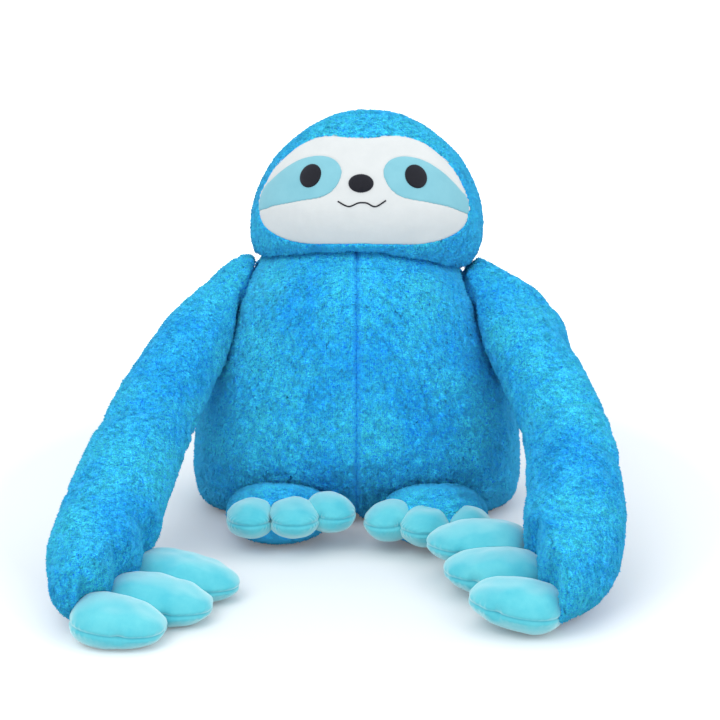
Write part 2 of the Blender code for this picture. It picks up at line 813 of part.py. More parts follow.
# Each claw is cut by what it is sewn to and by the claws before it
def build_claws(name, claws, radius, larger, body_name):
    for number, (start, tip) in enumerate(claws, 1):
        claw = claw_form(f"{name}_{number}_form", start, tip, radius)
        grown = drawn_in(claw, -seat_gap, f"{name}_{number}_grown")
        cut_by(claw, *larger)
        larger.append(grown)
        keep_part(claw, f"{name}_{number}", claw_cloth, body_name)


# Feet

def foot_middle(side, forward):
    return Vector((side * foot_side, -forward, foot_half_height - floor_flat))


def foot_form(name, middle, sides, ring_count, inset):
    rings = []
    for k in range(ring_count + 1):
        angle = math.pi * k / ring_count
        height = -math.cos(angle) * (foot_half_height - inset)
        out = math.sin(angle) ** foot_swell_power
        length = (foot_half_length - inset) * out
        width = (foot_half_width - inset) * out
        rings.append((Vector((0.0, 0.0, height)), width, length, length, foot_power))
    foot = swelled_ball(name, sides, rings)
    foot.data.transform(Matrix.Translation(middle))
    return pressed_flat(foot)


def foot_claws(side, middle):
    claws = []
    for ends in foot_claw_ends:
        claws.append([
            Vector((middle.x + side * across, middle.y + ahead, height))
            for across, ahead, height in ends])
    return claws


def build_foot(side_name, side, forward):
    body_name = "foot_" + side_name
    middle = foot_middle(side, forward)
    skin = foot_form("foot_skin_" + side_name, middle, foot_sides, foot_rings, 0.0)
    grown = drawn_in(skin, -seat_gap, "foot_grown_" + side_name)
    claws = foot_claws(side, middle)
    build_claws("foot_claw_" + side_name, claws, foot_claw_radius, [body_grown, grown], body_name)
    depth = cover_thickness + stuffing_gap
    inside, filling = (
        foot_form(name + side_name, middle, inner_sides, inner_rings, inset)
        for name, inset in (("foot_inside_", cover_thickness), ("foot_stuffing_", depth)))
    raise_off_floor(inside, cover_thickness)
    cut_by(inside, drawn_in(body_inner, -cover_thickness - inner_room, "body_by_" + inside.name))
    raise_off_floor(filling, depth)
    cut_by(filling, drawn_in(body_inner, -depth - inner_room, "body_by_" + filling.name))
    behind = Vector((middle.x, 0.0, middle.z))
    hole = swept_tube(
        "foot_hole_" + side_name, [(behind, stuffing_hole_radius), (middle, stuffing_hole_radius)],
        limb_inner_resolution)
    cover = cut_by(skin, body_grown, inside, hole)
    keep_part(cover, "foot_cover_" + side_name, pile, body_name)
    keep_part(filling, "foot_filling_" + side_name, stuffing, body_name)


# Puts a finished solid among the parts, with its origin on the joint of the body that carries it
def keep_part(item, name, material, body_name):
    mesh = item.data.copy()
    pivot = body_pivots[body_name]
    mesh.transform(Matrix.Translation(-pivot.location))
    mesh.name = name
    mesh.materials.clear()
    mesh.materials.append(material)
    mesh.shade_smooth()
    mesh.set_sharp_from_angle(angle=math.radians(sharp_angle))
    part = bpy.data.objects.new(name, mesh)
    parts.objects.link(part)
    part.parent = pivot
    return part


def add_pivot(name, place, carrier):
    pivot = bpy.data.objects.new(name + "_pivot", None)
    parts.objects.link(pivot)
    pivot.empty_display_size = shoulder_radius
    pivot.location = place
    body_pivots[name] = pivot
    pivot_carriers[name] = carrier


clear_scene()
parts = new_collection("plush_sloth")
cutters = new_collection("cutters")
pile = new_material("blue_pile", pile_colour, 0.95)
claw_cloth = new_material("aqua_cloth", claw_colour, 0.8)
face_cloth = new_material("white_cloth", face_colour, 0.85)
patch_cloth = new_material("patch_cloth", patch_colour, 0.85)
thread = new_material("dark_thread", thread_colour, 0.5)
seam_cloth = new_material("folded_seam", seam_colour, 0.9)
stuffing = new_material("stuffing", filling_colour, 1.0)

arms = {
    "left": arm_stations(1, left_wrist_side, left_hand_side, left_end_side),
    "right": arm_stations(-1, right_wrist_side, right_hand_side, right_end_side),
}
hand_claws = {
    "left": (
        (left_far_claw_start, left_far_claw_tip), (left_middle_claw_start, left_middle_claw_tip),
        (left_front_claw_start, left_front_claw_tip)),
    "right": (
        (right_far_claw_start, right_far_claw_tip),
        (right_middle_claw_start, right_middle_claw_tip),
        (right_front_claw_start, right_front_claw_tip)),
}

foot_claw_ends = (
    (inner_foot_claw_start, inner_foot_claw_tip),
    (middle_foot_claw_start, middle_foot_claw_tip),
    (outer_foot_claw_start, outer_foot_claw_tip))

body_pivots = {}
pivot_carriers = {}
add_pivot("torso", Vector((0.0, 0.0, 0.0)), None)
add_pivot("neck_seam", neck_pivot, "torso")
add_pivot("head", neck_pivot, "neck_seam")
for side_name, stations in arms.items():
    add_pivot("shoulder_seam_" + side_name, stations[0][0], "torso")
    add_pivot("upper_arm_" + side_name, stations[0][0], "shoulder_seam_" + side_name)
    add_pivot("forearm_" + side_name, stations[0][elbow_station], "upper_arm_" + side_name)
for side_name, side in (("left", 1), ("right", -1)):
    hinge = Vector((side * foot_side, -foot_hinge_forward, foot_hinge_height))
    add_pivot("foot_" + side_name, hinge, "torso")

neck_hollow_radius = neck_ball_radius + neck_hollow_room
shoulder_socket_radius = shoulder_radius + seam_thickness + 2 * turning_gap
shoulder_sockets = [
    socket_ball(
        "shoulder_socket_" + side_name, stations[0][0], shoulder_socket_radius, socket_sides)
    for side_name, stations in arms.items()]

body_skin = pressed_flat(body_form("body_skin", body_sides, body_low_rings, body_top_rings))
body_inner = body_form("body_inner", inner_sides, inner_rings, inner_top_rings)
head_skin = head_form("head_skin", head_sides, head_rings)
head_inner = head_form("head_inner", inner_sides, inner_rings)
head_grown = drawn_in(head_skin, -seat_gap, "head_grown")
body_grown = drawn_in(body_skin, -seat_gap, "body_grown")
face_shape = bmesh.new()
face_shape.from_mesh(head_skin.data)
face_tree = BVHTree.FromBMesh(face_shape)
face_shape.free()

build_body()
neck_ring = seam_ring(
    "neck_ring", neck_pivot, neck_ball_radius, neck_seam_thickness, neck_seam_from_angle,
    neck_seam_to_angle, Vector((0.0, 0.0, 1.0)))
keep_part(neck_ring, "neck_seam", seam_cloth, "neck_seam")
build_head()
for side_name, side in (("left", 1), ("right", -1)):
    stations = arms[side_name]
    ring = seam_ring(
        "shoulder_ring_" + side_name, stations[0][0], shoulder_radius, seam_thickness,
        shoulder_seam_from_angle, shoulder_seam_to_angle, Vector((-side, 0.0, 0.0)))
    keep_part(ring, "shoulder_seam_" + side_name, seam_cloth, "shoulder_seam_" + side_name)
    build_upper_arm(side_name, stations)
    build_forearm(side_name, stations, hand_claws[side_name])
build_foot("left", 1, left_foot_forward)
build_foot("right", -1, right_foot_forward)

for name, pivot in body_pivots.items():
    carrier = pivot_carriers[name]
    if carrier:
        pivot.parent = body_pivots[carrier]
        pivot.location = pivot.location - body_pivots[carrier].matrix_world.translation
        bpy.context.view_layer.update()
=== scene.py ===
import math

import bpy
import numpy as np
from mathutils import Matrix, Vector, noise
from mathutils.bvhtree import BVHTree


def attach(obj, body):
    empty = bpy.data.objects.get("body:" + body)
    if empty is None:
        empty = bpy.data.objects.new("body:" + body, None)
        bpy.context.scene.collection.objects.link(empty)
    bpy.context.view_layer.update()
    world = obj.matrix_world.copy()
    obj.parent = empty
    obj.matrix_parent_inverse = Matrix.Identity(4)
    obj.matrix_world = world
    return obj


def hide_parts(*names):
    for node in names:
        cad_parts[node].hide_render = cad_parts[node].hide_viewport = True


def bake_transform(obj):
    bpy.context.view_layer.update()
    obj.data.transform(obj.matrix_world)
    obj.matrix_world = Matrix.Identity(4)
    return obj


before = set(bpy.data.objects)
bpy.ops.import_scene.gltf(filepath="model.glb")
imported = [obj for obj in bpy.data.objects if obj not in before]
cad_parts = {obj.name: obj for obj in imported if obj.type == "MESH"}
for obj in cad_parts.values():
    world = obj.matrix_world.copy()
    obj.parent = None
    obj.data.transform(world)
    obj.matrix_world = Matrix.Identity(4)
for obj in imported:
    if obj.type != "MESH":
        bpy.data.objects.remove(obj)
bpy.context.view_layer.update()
print("frame loaded:", len(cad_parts), "nodes")


# selecting, modifiers and points

def pick(item):
    bpy.ops.object.select_all(action="DESELECT")
    item.select_set(True)
    bpy.context.view_layer.objects.active = item


def joined(items):
    pick(items[0])
    for item in items:
        item.select_set(True)
    bpy.ops.object.join()
    return items[0]


def applyModifier(item, kind, **settings):
    pick(item)
    modifier = item.modifiers.new(kind.lower(), kind)
    for name, value in settings.items():
        setattr(modifier, name, value)
    bpy.ops.object.modifier_apply(modifier=modifier.name)


def editMesh(item, *steps):  # runs mesh operators on all of a piece
    pick(item)
    bpy.ops.object.mode_set(mode="EDIT")
    bpy.ops.mesh.select_all(action="SELECT")
    for step, settings in steps:
        step(**settings)
    bpy.ops.object.mode_set(mode="OBJECT")


outsideOut = (bpy.ops.mesh.normals_make_consistent, {"inside": False})


def addBall(radius, place=(0, 0, 0), sides=40, rings=24):
    bpy.ops.mesh.primitive_uv_sphere_add(segments=sides, ring_count=rings, radius=radius, location=place)
    return bpy.context.object


def pointsOf(item):
    flat = np.empty(len(item.data.vertices) * 3)
    item.data.vertices.foreach_get("co", flat)
    return flat.reshape(-1, 3)


def normalsOf(item):
    item.data.update()
    flat = np.empty(len(item.data.vertices) * 3)
    item.data.vertex_normals.foreach_get("vector", flat)
    return flat.reshape(-1, 3)


def setPoints(item, points):
    item.data.vertices.foreach_set("co", points.ravel())
    item.data.update()


def duplicate(item, name):
    other = item.copy()
    other.data = item.data.copy()
    other.name = name
    bpy.context.scene.collection.objects.link(other)
    return other


def remove(*items):
    for item in items:
        bpy.data.objects.remove(item, do_unlink=True)


def combine(item, operation, *others, keep=False):
    for other in others:
        applyModifier(item, "BOOLEAN", operation=operation, object=other, solver="EXACT")
        if not keep:
            remove(other)


def remesh(item, size, smoothing):
    applyModifier(item, "REMESH", mode="VOXEL", voxel_size=size)
    applyModifier(item, "SMOOTH", factor=0.5, iterations=smoothing)


def alongNormals(item, distance):
    setPoints(item, pointsOf(item) + normalsOf(item) * distance)


def markPoints(item, name, values):
    mark = item.data.attributes.new(name, "FLOAT", "POINT")
    mark.data.foreach_set("value", values.astype(np.float32))


def unit(vectors):
    return vectors / np.maximum(np.linalg.norm(vectors, axis=1, keepdims=True), 1e-9)


def near(values, width):  # 1 where a value is 0, fading with distance from there
    return np.exp(-(values / width) ** 2)


def noiseOf(points, scale, shift=(0, 0, 0)):
    return np.array([noise.noise(Vector(p) * scale + Vector(shift)) for p in points])


# smooth lines through tables and points

def curveAt(t, start, stop, lead, follow):
    smooth = start * (2 * t**3 - 3 * t**2 + 1) + stop * (3 * t**2 - 2 * t**3)
    return smooth + lead * (t**3 - 2 * t**2 + t) + follow * (t**3 - t**2)


def tableValue(table, place):  # table of (place, value)
    last = len(table) - 1
    place = min(max(place, table[0][0]), table[last][0])
    spot = min(max(k for k in range(last + 1) if table[k][0] <= place), last - 1)

    def slope(k):
        low, high = max(k - 1, 0), min(k + 1, last)
        return (table[high][1] - table[low][1]) / (table[high][0] - table[low][0])

    (start, first), (stop, second) = table[spot], table[spot + 1]
    span = stop - start
    return curveAt((place - start) / span, first, second, span * slope(spot), span * slope(spot + 1))


def columnOf(rows, column):
    return [(row[0], row[column]) for row in rows]


def linePoint(points, place):
    spot = min(int(place), len(points) - 2)
    before, start = points[max(spot - 1, 0)], points[spot]
    stop, after = points[spot + 1], points[min(spot + 2, len(points) - 1)]
    return curveAt(place - spot, start, stop, (stop - before) / 2, (after - start) / 2)


def endedShares(count):  # from 0 to 1, closer together toward both ends
    return [(1 - math.cos(math.pi * k / count)) / 2 for k in range(count + 1)]


# stuffed forms: a ball whose rings take the sizes of the piece

def shapedBall(name, rings, sides, spot):  # spot places a point by its ring and the turn round it
    item = addBall(1.0, sides=sides, rings=len(rings) - 1)
    item.name = name
    points = pointsOf(item)
    for k, (x, y, z) in enumerate(points):
        level = (1.0 - math.acos(max(-1.0, min(1.0, z))) / math.pi) * (len(rings) - 1)
        turn = math.atan2(y, x)
        points[k] = spot(rings[round(level)], math.cos(turn), math.sin(turn))
    setPoints(item, points)
    return item


def ballOfRings(name, rings, sides):  # ring: middle, half width, front, back, squareness
    def spot(ring, out, along):
        middle, width, front, back, power = ring
        depth = front if along < 0 else back
        return middle + Vector((
            width * math.copysign(abs(out) ** (2 / power), out),
            depth * math.copysign(abs(along) ** (2 / power), along), 0))
    return shapedBall(name, rings, sides, spot)


def ballAlongLine(name, rings, sides):  # ring: middle, radius
    across = Vector((0, 0, 1))
    frames = []
    for k, (middle, radius) in enumerate(rings):
        ahead = (rings[min(k + 1, len(rings) - 1)][0] - rings[max(k - 1, 0)][0]).normalized()
        across = (across - across.dot(ahead) * ahead).normalized()
        frames.append((middle, radius, across, ahead.cross(across)))

    def spot(ring, over, side):
        middle, radius, upwards, sideways = ring
        return middle + radius * (over * upwards + side * sideways)
    return shapedBall(name, frames, sides, spot)


bodySizes = {
    "halfWidth": 0.25, "front": 0.172, "back": 0.178, "shoulders": 0.3, "breast": 0.36,
    "roundPower": 2.0, "basePower": 3.0, "neckHeight": 0.238, "neckRadius": 0.2,
    "widths": (
        (0.0, 0.9), (0.03, 0.95), (0.09, 0.985), (0.2, 1.0), (0.38, 0.985),
        (0.55, 0.955), (0.7, 0.915), (0.85, 0.845)),
    "depths": (  # share of the height, then of the front and the back
        (0.0, 0.6, 0.68), (0.03, 0.72, 0.78), (0.09, 0.84, 0.88), (0.18, 0.93, 0.96), (0.3, 0.985, 1.0),
        (0.42, 1.0, 1.0), (0.6, 1.0, 0.98), (0.78, 1.0, 0.965)),
    "sideSeam": -0.012, "sides": 96, "lowerRings": 40, "upperRings": 24,
}


def neckHalfWidth(height):
    return math.sqrt(max(bodySizes["neckRadius"] ** 2 - (height - bodySizes["neckHeight"]) ** 2, 0))


def bodySide(height, top, rows, column, size):
    if height >= top:
        return neckHalfWidth(height)
    closed = columnOf(rows, column) + [(1.0, neckHalfWidth(top) / size)]
    return size * tableValue(closed, height / top)


def makeBodyForm(name):
    sizes = bodySizes
    tall = sizes["shoulders"]
    lower, upper = sizes["lowerRings"], sizes["upperRings"]
    heights = [tall * (k / lower) ** 1.5 for k in range(lower)]
    firstAngle = math.acos((tall - sizes["neckHeight"]) / sizes["neckRadius"])
    for k in range(upper):
        heights.append(sizes["neckHeight"] + sizes["neckRadius"] * math.cos(firstAngle * (1 - k / upper)))
    rings = [(Vector((0, 0, 0)), 0, 0, 0, 2)]
    for height in heights:
        nearFloor = 1 - min(height / tall, 1)
        rings.append((
            Vector((0, 0, height)),
            bodySide(height, tall, sizes["widths"], 1, sizes["halfWidth"]),
            bodySide(height, sizes["breast"], sizes["depths"], 1, sizes["front"]),
            bodySide(height, sizes["breast"], sizes["depths"], 2, sizes["back"]),
            sizes["roundPower"] + (sizes["basePower"] - sizes["roundPower"]) * nearFloor))
    rings.append((Vector((0, 0, sizes["neckHeight"] + sizes["neckRadius"])), 0, 0, 0, 2))
    return ballOfRings(name, rings, sizes["sides"])


headSizes = {
    "bottom": 0.335, "top": 0.6, "halfWidth": 0.174, "front": 0.14, "back": 0.138,
    "sideShift": 0.015, "topShift": 0.002, "power": 2.3, "hollow": 0.2048, "sides": 112, "rings": 84,
    "rows": (  # share of the height, then of the half width, the front and the back
        (0.0, 0.0, 0.0, 0.0), (0.03, 0.5, 0.4, 0.45), (0.08, 0.76, 0.6, 0.7), (0.13, 0.885, 0.71, 0.82),
        (0.19, 0.955, 0.79, 0.9), (0.28, 0.997, 0.885, 0.96), (0.36, 1.0, 0.955, 0.99),
        (0.455, 0.983, 1.0, 1.0), (0.555, 0.938, 0.985, 0.965), (0.69, 0.833, 0.88, 0.86),
        (0.755, 0.757, 0.8, 0.78), (0.823, 0.645, 0.685, 0.67), (0.89, 0.515, 0.545, 0.535),
        (0.955, 0.325, 0.345, 0.345), (0.985, 0.175, 0.185, 0.185), (1.0, 0.0, 0.0, 0.0)),
}


def makeHeadForm(name):
    sizes = headSizes
    rings = []
    for share in endedShares(sizes["rings"]):
        rings.append((
            Vector((sizes["sideShift"] + sizes["topShift"] * share**2, 0,
                    sizes["bottom"] + (sizes["top"] - sizes["bottom"]) * share)),
            *(sizes[size] * tableValue(columnOf(sizes["rows"], column), share)
              for column, size in enumerate(("halfWidth", "front", "back"), 1)), sizes["power"]))
    return ballOfRings(name, rings, sizes["sides"])


armSizes = {
    "radii": (0.044, 0.055, 0.064, 0.069, 0.073, 0.06),
    "left": (
        (0.18, 0, 0.32), (0.234, -0.085, 0.275), (0.287, -0.2, 0.192),
        (0.296, -0.33, 0.122), (0.274, -0.435, 0.0725), (0.24, -0.5, 0.066)),
    "right": (
        (-0.18, 0, 0.32), (-0.234, -0.085, 0.275), (-0.287, -0.2, 0.192),
        (-0.322, -0.33, 0.122), (-0.334, -0.435, 0.0725), (-0.335, -0.5, 0.066)),
    "steps": 9, "endSteps": 8, "sides": 64, "elbow": 2,
}


def armRoute(side):
    return [Vector(place) for place in armSizes[side]]


def armSpine(side):  # places along the arm and the way ahead at each
    places = np.array([linePoint(armRoute(side), k / 6)[:] for k in range(31)])
    return places, unit(np.gradient(places, axis=0))


def closest(places, point):
    return int(np.argmin(((places - point) ** 2).sum(1)))


def makeArmForm(name, side):
    places = armRoute(side)
    radii = [Vector((radius, 0)) for radius in armSizes["radii"]]
    rings = []
    for k in range((len(places) - 1) * armSizes["steps"] + 1):
        at = k / armSizes["steps"]
        rings.append((linePoint(places, at), linePoint(radii, at).x))
    caps = []
    for end, nextOne in ((0, 1), (-1, -2)):
        middle, radius = rings[end]
        back = (middle - rings[nextOne][0]).normalized()
        angles = [math.pi / 2 * (1 - k / armSizes["endSteps"]) for k in range(armSizes["endSteps"])]
        caps.append([(middle + back * radius * math.sin(angle), radius * math.cos(angle)) for angle in angles])
    return ballAlongLine(name, caps[0] + rings + caps[1][::-1], armSizes["sides"])


# stuffing: cloth under pressure, held along its seams, and capped in how far it moves

clothLook = {
    "quality": 3, "mass": 0.2, "tension_stiffness": 12, "compression_stiffness": 12,
    "bending_stiffness": 0.6, "use_pressure": True, "vertex_group_mass": "held",
}
clothFrames = 20


def puffUp(item, held, cap, pressure):
    before, outwards = pointsOf(item), normalsOf(item)
    group = item.vertex_groups.new(name="held")
    for k in np.nonzero(held)[0]:
        group.add([int(k)], 1.0, "REPLACE")
    cloth = item.modifiers.new("stuffing", "CLOTH")
    for name, value in clothLook.items():
        setattr(cloth.settings, name, value)
    cloth.settings.uniform_pressure_force = pressure
    cloth.settings.effector_weights.gravity = 0
    cloth.point_cache.frame_start = 1
    cloth.point_cache.frame_end = clothFrames
    for step in range(1, clothFrames + 1):
        bpy.context.scene.frame_set(step)
    pick(item)
    bpy.ops.object.modifier_apply(modifier="stuffing")
    bpy.context.scene.frame_set(1)
    item.vertex_groups.clear()
    moved = pointsOf(item) - before
    length = np.linalg.norm(moved, axis=1, keepdims=True)
    moved *= np.minimum(1, cap / np.maximum(length, 1e-9))
    swell = float((moved * outwards).sum(1).mean())
    setPoints(item, before + moved + outwards * (cap * 0.5 - swell))


def stuff(item, look, heldIn):  # heldIn says which points the seams and the floor hold
    remesh(item, look["voxel"], look["smooth"])
    alongNormals(item, -(pileSizes["root"] + look["puff"] / 2 + look.get("slim", 0)))
    puffUp(item, heldIn(pointsOf(item)), look["puff"], 4.0)
    applyModifier(item, "SUBSURF", levels=1, render_levels=1)


def crumples(points, wide, fine):  # the soft uneven surface that loose filling gives cloth
    return wide * noiseOf(points, 22) + fine * noiseOf(points, 58, (4, 8, 2))


def pressIn(item, depths):  # moves each point in along its normal
    setPoints(item, pointsOf(item) - normalsOf(item) * depths[:, None])


floorGap = 0.0004


def keepOnFloor(item):
    points = pointsOf(item)
    points[:, 2] = np.maximum(points[:, 2], floorGap)
    setPoints(item, points)


# pile: every face of the backing gets one tuft, leaning with the nap and clumped with its neighbours

pileSizes = {
    "length": 0.0023, "lean": 0.9, "root": 0.0024, "clump": 0.01, "clumpPull": 0.0022,
    "loose": 0.3, "stray": 0.15, "uneven": (0.45, 1.35),
}


def raisePile(item, nap, seed, amount=None, shade=None):
    look = pileSizes
    rng = np.random.default_rng(seed)
    points, outwards = pointsOf(item), normalsOf(item)
    edges = np.empty(len(item.data.edges) * 2, int)
    item.data.edges.foreach_get("vertices", edges)
    ends = points[edges.reshape(-1, 2)]
    spacing = float(np.median(np.linalg.norm(ends[:, 0] - ends[:, 1], axis=1)))

    def flattened(vectors, outwards):
        return vectors - (vectors * outwards).sum(1, keepdims=True) * outwards

    loose = rng.normal(size=points.shape) * spacing * look["loose"]
    setPoints(item, points + flattened(loose, outwards))
    rootCount = len(points)
    editMesh(item, (bpy.ops.mesh.poke, {"offset": 0.0}))
    points = pointsOf(item)
    tips, outwards = points[rootCount:], normalsOf(item)[rootCount:]
    lying = unit(flattened(nap(tips), outwards))
    size = look["clump"]
    clumps = noiseOf(tips, 1 / size)
    pulls = np.array([noise.noise_vector(Vector(p) / size + Vector((7, 3, 5)))[:] for p in tips])
    share = np.ones(len(tips)) if amount is None else amount(tips)
    rough = clumps * np.clip(0.6 + 1.4 * noiseOf(tips, 1 / (size * 6), (3, 9, 1)), 0.15, 1.2)
    tall = look["length"] * (1 + 0.6 * rough) * rng.uniform(*look["uneven"], len(tips)) * share
    stray = rng.normal(size=tips.shape) * spacing * look["stray"]
    points[rootCount:] += (
        outwards * tall[:, None] + lying * (tall * look["lean"])[:, None]
        + (flattened(pulls, outwards) * look["clumpPull"] + stray) * share[:, None])
    setPoints(item, points)
    # the pile mark runs from 0 at the roots to 1 at the tips, times any shade given; the finish paints shade at
    # the roots by it
    height = np.zeros(len(points))
    height[rootCount:] = np.clip(share * (0.8 + 0.7 * rough), 0, 1)
    markPoints(item, "pile", height if shade is None else height * shade(points))


def napDown(points):
    return np.tile((0.0, 0.0, -1.0), (len(points), 1))


# finishes

def feed(tree, *pairs):  # pair: value or output, input
    for value, socket in pairs:
        if isinstance(value, bpy.types.NodeSocket):
            tree.links.new(value, socket)
        else:
            socket.default_value = value


def nodeIn(tree, kind, **inputs):
    node = tree.nodes.new(kind)
    feed(tree, *((value, node.inputs[name]) for name, value in inputs.items()))
    return node


def mixColours(tree, factor, first, second, way="MIX"):
    node = tree.nodes.new("ShaderNodeMix")
    node.data_type = "RGBA"
    node.blend_type = way
    feed(tree, (factor, node.inputs[0]), (first, node.inputs[6]), (second, node.inputs[7]))
    return node.outputs[2]


def mathNode(tree, operation, first, second, clamp=False):
    node = tree.nodes.new("ShaderNodeMath")
    node.operation = operation
    node.use_clamp = clamp
    feed(tree, (first, node.inputs[0]), (second, node.inputs[1]))
    return node.outputs[0]


def weighted(tree, *parts, clamp=False):  # part: value, share
    total = None
    for value, share in parts:
        part = mathNode(tree, "MULTIPLY", value, share)
        total = part if total is None else mathNode(tree, "ADD", total, part, clamp)
    return total


def noiseAt(tree, where, scale, detail, roughness=0.5, distortion=0.0):
    return nodeIn(
        tree, "ShaderNodeTexNoise", Vector=where, Scale=scale, Detail=detail,
        Roughness=roughness, Distortion=distortion).outputs["Fac"]


def spread(tree, value, low, high):
    node = nodeIn(tree, "ShaderNodeMapRange", Value=value)
    feed(tree, (low, node.inputs["From Min"]), (high, node.inputs["From Max"]))
    return node.outputs["Result"]


def makeGroup(name, **inputs):
    group = bpy.data.node_groups.new(name, "ShaderNodeTree")
    for label, value in inputs.items():
        kind = "NodeSocketFloat" if isinstance(value, float) else "NodeSocketColor"
        group.interface.new_socket(label, in_out="INPUT", socket_type=kind).default_value = value
    for label, kind in (("Color", "NodeSocketColor"), ("Height", "NodeSocketFloat")):
        group.interface.new_socket(label, in_out="OUTPUT", socket_type=kind)
    return group, group.nodes.new("NodeGroupInput").outputs, group.nodes.new("NodeGroupOutput").inputs


def makePileGroup():  # mottled plush: patches of nap, clumps and single fibres, with painted shade at the roots and in dark specks where the pile parts
    group, given, result = makeGroup(
        "plushPile", Light=(1, 1, 1, 1), Middle=(1, 1, 1, 1), Deep=(0, 0, 0, 1), Tip=1.0, Mottle=10.0, Fibre=360.0)
    where = group.nodes.new("ShaderNodeTexCoord").outputs["Object"]
    patches = spread(group, noiseAt(group, where, given["Mottle"], 2, 0.5), 0.38, 0.6)
    finer = mathNode(group, "MULTIPLY", given["Mottle"], 7)
    clumps = spread(group, noiseAt(group, where, finer, 3, 0.6), 0.36, 0.64)
    grain = noiseAt(group, where, given["Fibre"], 2, 0.6, 1.6)
    fibres = spread(group, grain, 0.38, 0.62)
    # specks: painted shade, dark flecks where the pile parts
    specks = spread(group, grain, 0.4, 0.49)
    blend = weighted(group, (patches, 0.5), (clumps, 0.16), (fibres, 0.34))
    lit = mixColours(group, blend, given["Middle"], given["Light"])
    # painted shade: the root colour shows low on each tuft and in the specks, the lit colour toward the tips
    unshaded = weighted(group, (given["Tip"], 0.65), (specks, 0.65), clamp=True)
    colour = mixColours(group, unshaded, given["Deep"], lit)
    group.links.new(colour, result["Color"])
    group.links.new(weighted(group, (fibres, 0.7), (clumps, 0.3)), result["Height"])
    return group


def makeNapGroup():  # short velvety nap with faint brushed clouds, and painted shade where the seam mark is set
    group, given, result = makeGroup(
        "shortNap", Base=(1, 1, 1, 1), Shade=(0, 0, 0, 1), Seam=0.0, Clouds=40.0, Fibre=900.0)
    where = group.nodes.new("ShaderNodeTexCoord").outputs["Object"]
    clouds = spread(group, noiseAt(group, where, given["Clouds"], 4, 0.6), 0.35, 0.7)
    fibres = noiseAt(group, where, given["Fibre"], 3, 0.7)
    grain = weighted(group, (clouds, 0.6), (fibres, 0.4))
    cloth = mixColours(group, grain, given["Shade"], given["Base"])
    # painted shade in the seam groove and the dimple, from the claws' seam mark
    sewn = mixColours(group, given["Seam"], cloth, (0.35, 0.62, 0.72, 1), "MULTIPLY")
    group.links.new(sewn, result["Color"])
    group.links.new(weighted(group, (fibres, 1.0), (clouds, 0.5)), result["Height"])
    return group


pileGroup = makePileGroup()
napGroup = makeNapGroup()


def newFinish(name, roughness, sheen, sheenTint):
    material = bpy.data.materials.new(name)
    material.use_nodes = True
    shader = material.node_tree.nodes["Principled BSDF"]
    for label, value in (
            ("Roughness", roughness), ("Sheen Weight", sheen), ("Sheen Roughness", 0.45),
            ("Sheen Tint", sheenTint), ("Specular IOR Level", 0.2)):
        shader.inputs[label].default_value = value
    return material, material.node_tree, shader


def raiseFinish(tree, shader, strength, distance, height):
    raised = nodeIn(tree, "ShaderNodeBump", Strength=strength, Distance=distance, Height=height)
    tree.links.new(raised.outputs["Normal"], shader.inputs["Normal"])


def groupFinish(name, group, look, roughness, sheen, sheenTint, bump, distance, rim=None):
    material, tree, shader = newFinish(name, roughness, sheen, sheenTint)
    node = tree.nodes.new("ShaderNodeGroup")
    node.node_tree = group
    for label, value in look.items():
        node.inputs[label].default_value = value
    mark = tree.nodes.new("ShaderNodeAttribute")
    mark.attribute_name = "pile" if group is pileGroup else "seam"
    tree.links.new(mark.outputs["Fac"], node.inputs["Tip" if group is pileGroup else "Seam"])
    colour = node.outputs["Color"]
    if rim:  # painted sheen: the nap seen on edge is mixed toward a paler colour
        facing = nodeIn(tree, "ShaderNodeLayerWeight", Blend=0.35)
        colour = mixColours(tree, spread(tree, facing.outputs["Facing"], 0.18, 0.85), colour, rim)
    tree.links.new(colour, shader.inputs["Base Color"])
    raiseFinish(tree, shader, bump, distance, node.outputs["Height"])
    return material


# the third colour is painted shade deep in the pile, shown at the roots
pileLook = {
    "Light": (0.085, 0.98, 1.0, 1), "Middle": (0.01, 0.47, 1.0, 1), "Deep": (0.003, 0.18, 0.94, 1),
}
aquaLook = {"Base": (0.15, 0.565, 0.62, 1), "Shade": (0.054, 0.43, 0.53, 1), "Clouds": 22.0}
whiteLook = {"Base": (0.605, 0.615, 0.613, 1), "Shade": (0.555, 0.57, 0.57, 1), "Clouds": 30.0}
patchLook = {"Base": (0.214, 0.473, 0.545, 1), "Shade": (0.177, 0.423, 0.5, 1), "Clouds": 34.0}
seamLook = {"Base": (0.015, 0.22, 0.58, 1), "Shade": (0.01, 0.16, 0.45, 1), "Clouds": 60.0}
# the last colour is a painted sheen on the pile's edges
blueFinish = groupFinish(
    "bluePile", pileGroup, pileLook, 0.9, 0.4, (0.12, 0.6, 1, 1), 0.6, 0.0012, (0.045, 0.56, 1.0, 1))
# the last colour is a painted sheen on the claws' edges
aquaFinish = groupFinish(
    "aquaNap", napGroup, aquaLook, 0.85, 0.6, (0.85, 1, 1, 1), 0.35, 0.0006, (0.38, 0.7, 0.73, 1))
whiteFinish = groupFinish("whiteNap", napGroup, whiteLook, 0.9, 0.3, (1, 1, 1, 1), 0.35, 0.0006)
patchFinish = groupFinish("patchNap", napGroup, patchLook, 0.88, 0.3, (0.8, 0.95, 1, 1), 0.35, 0.0006)


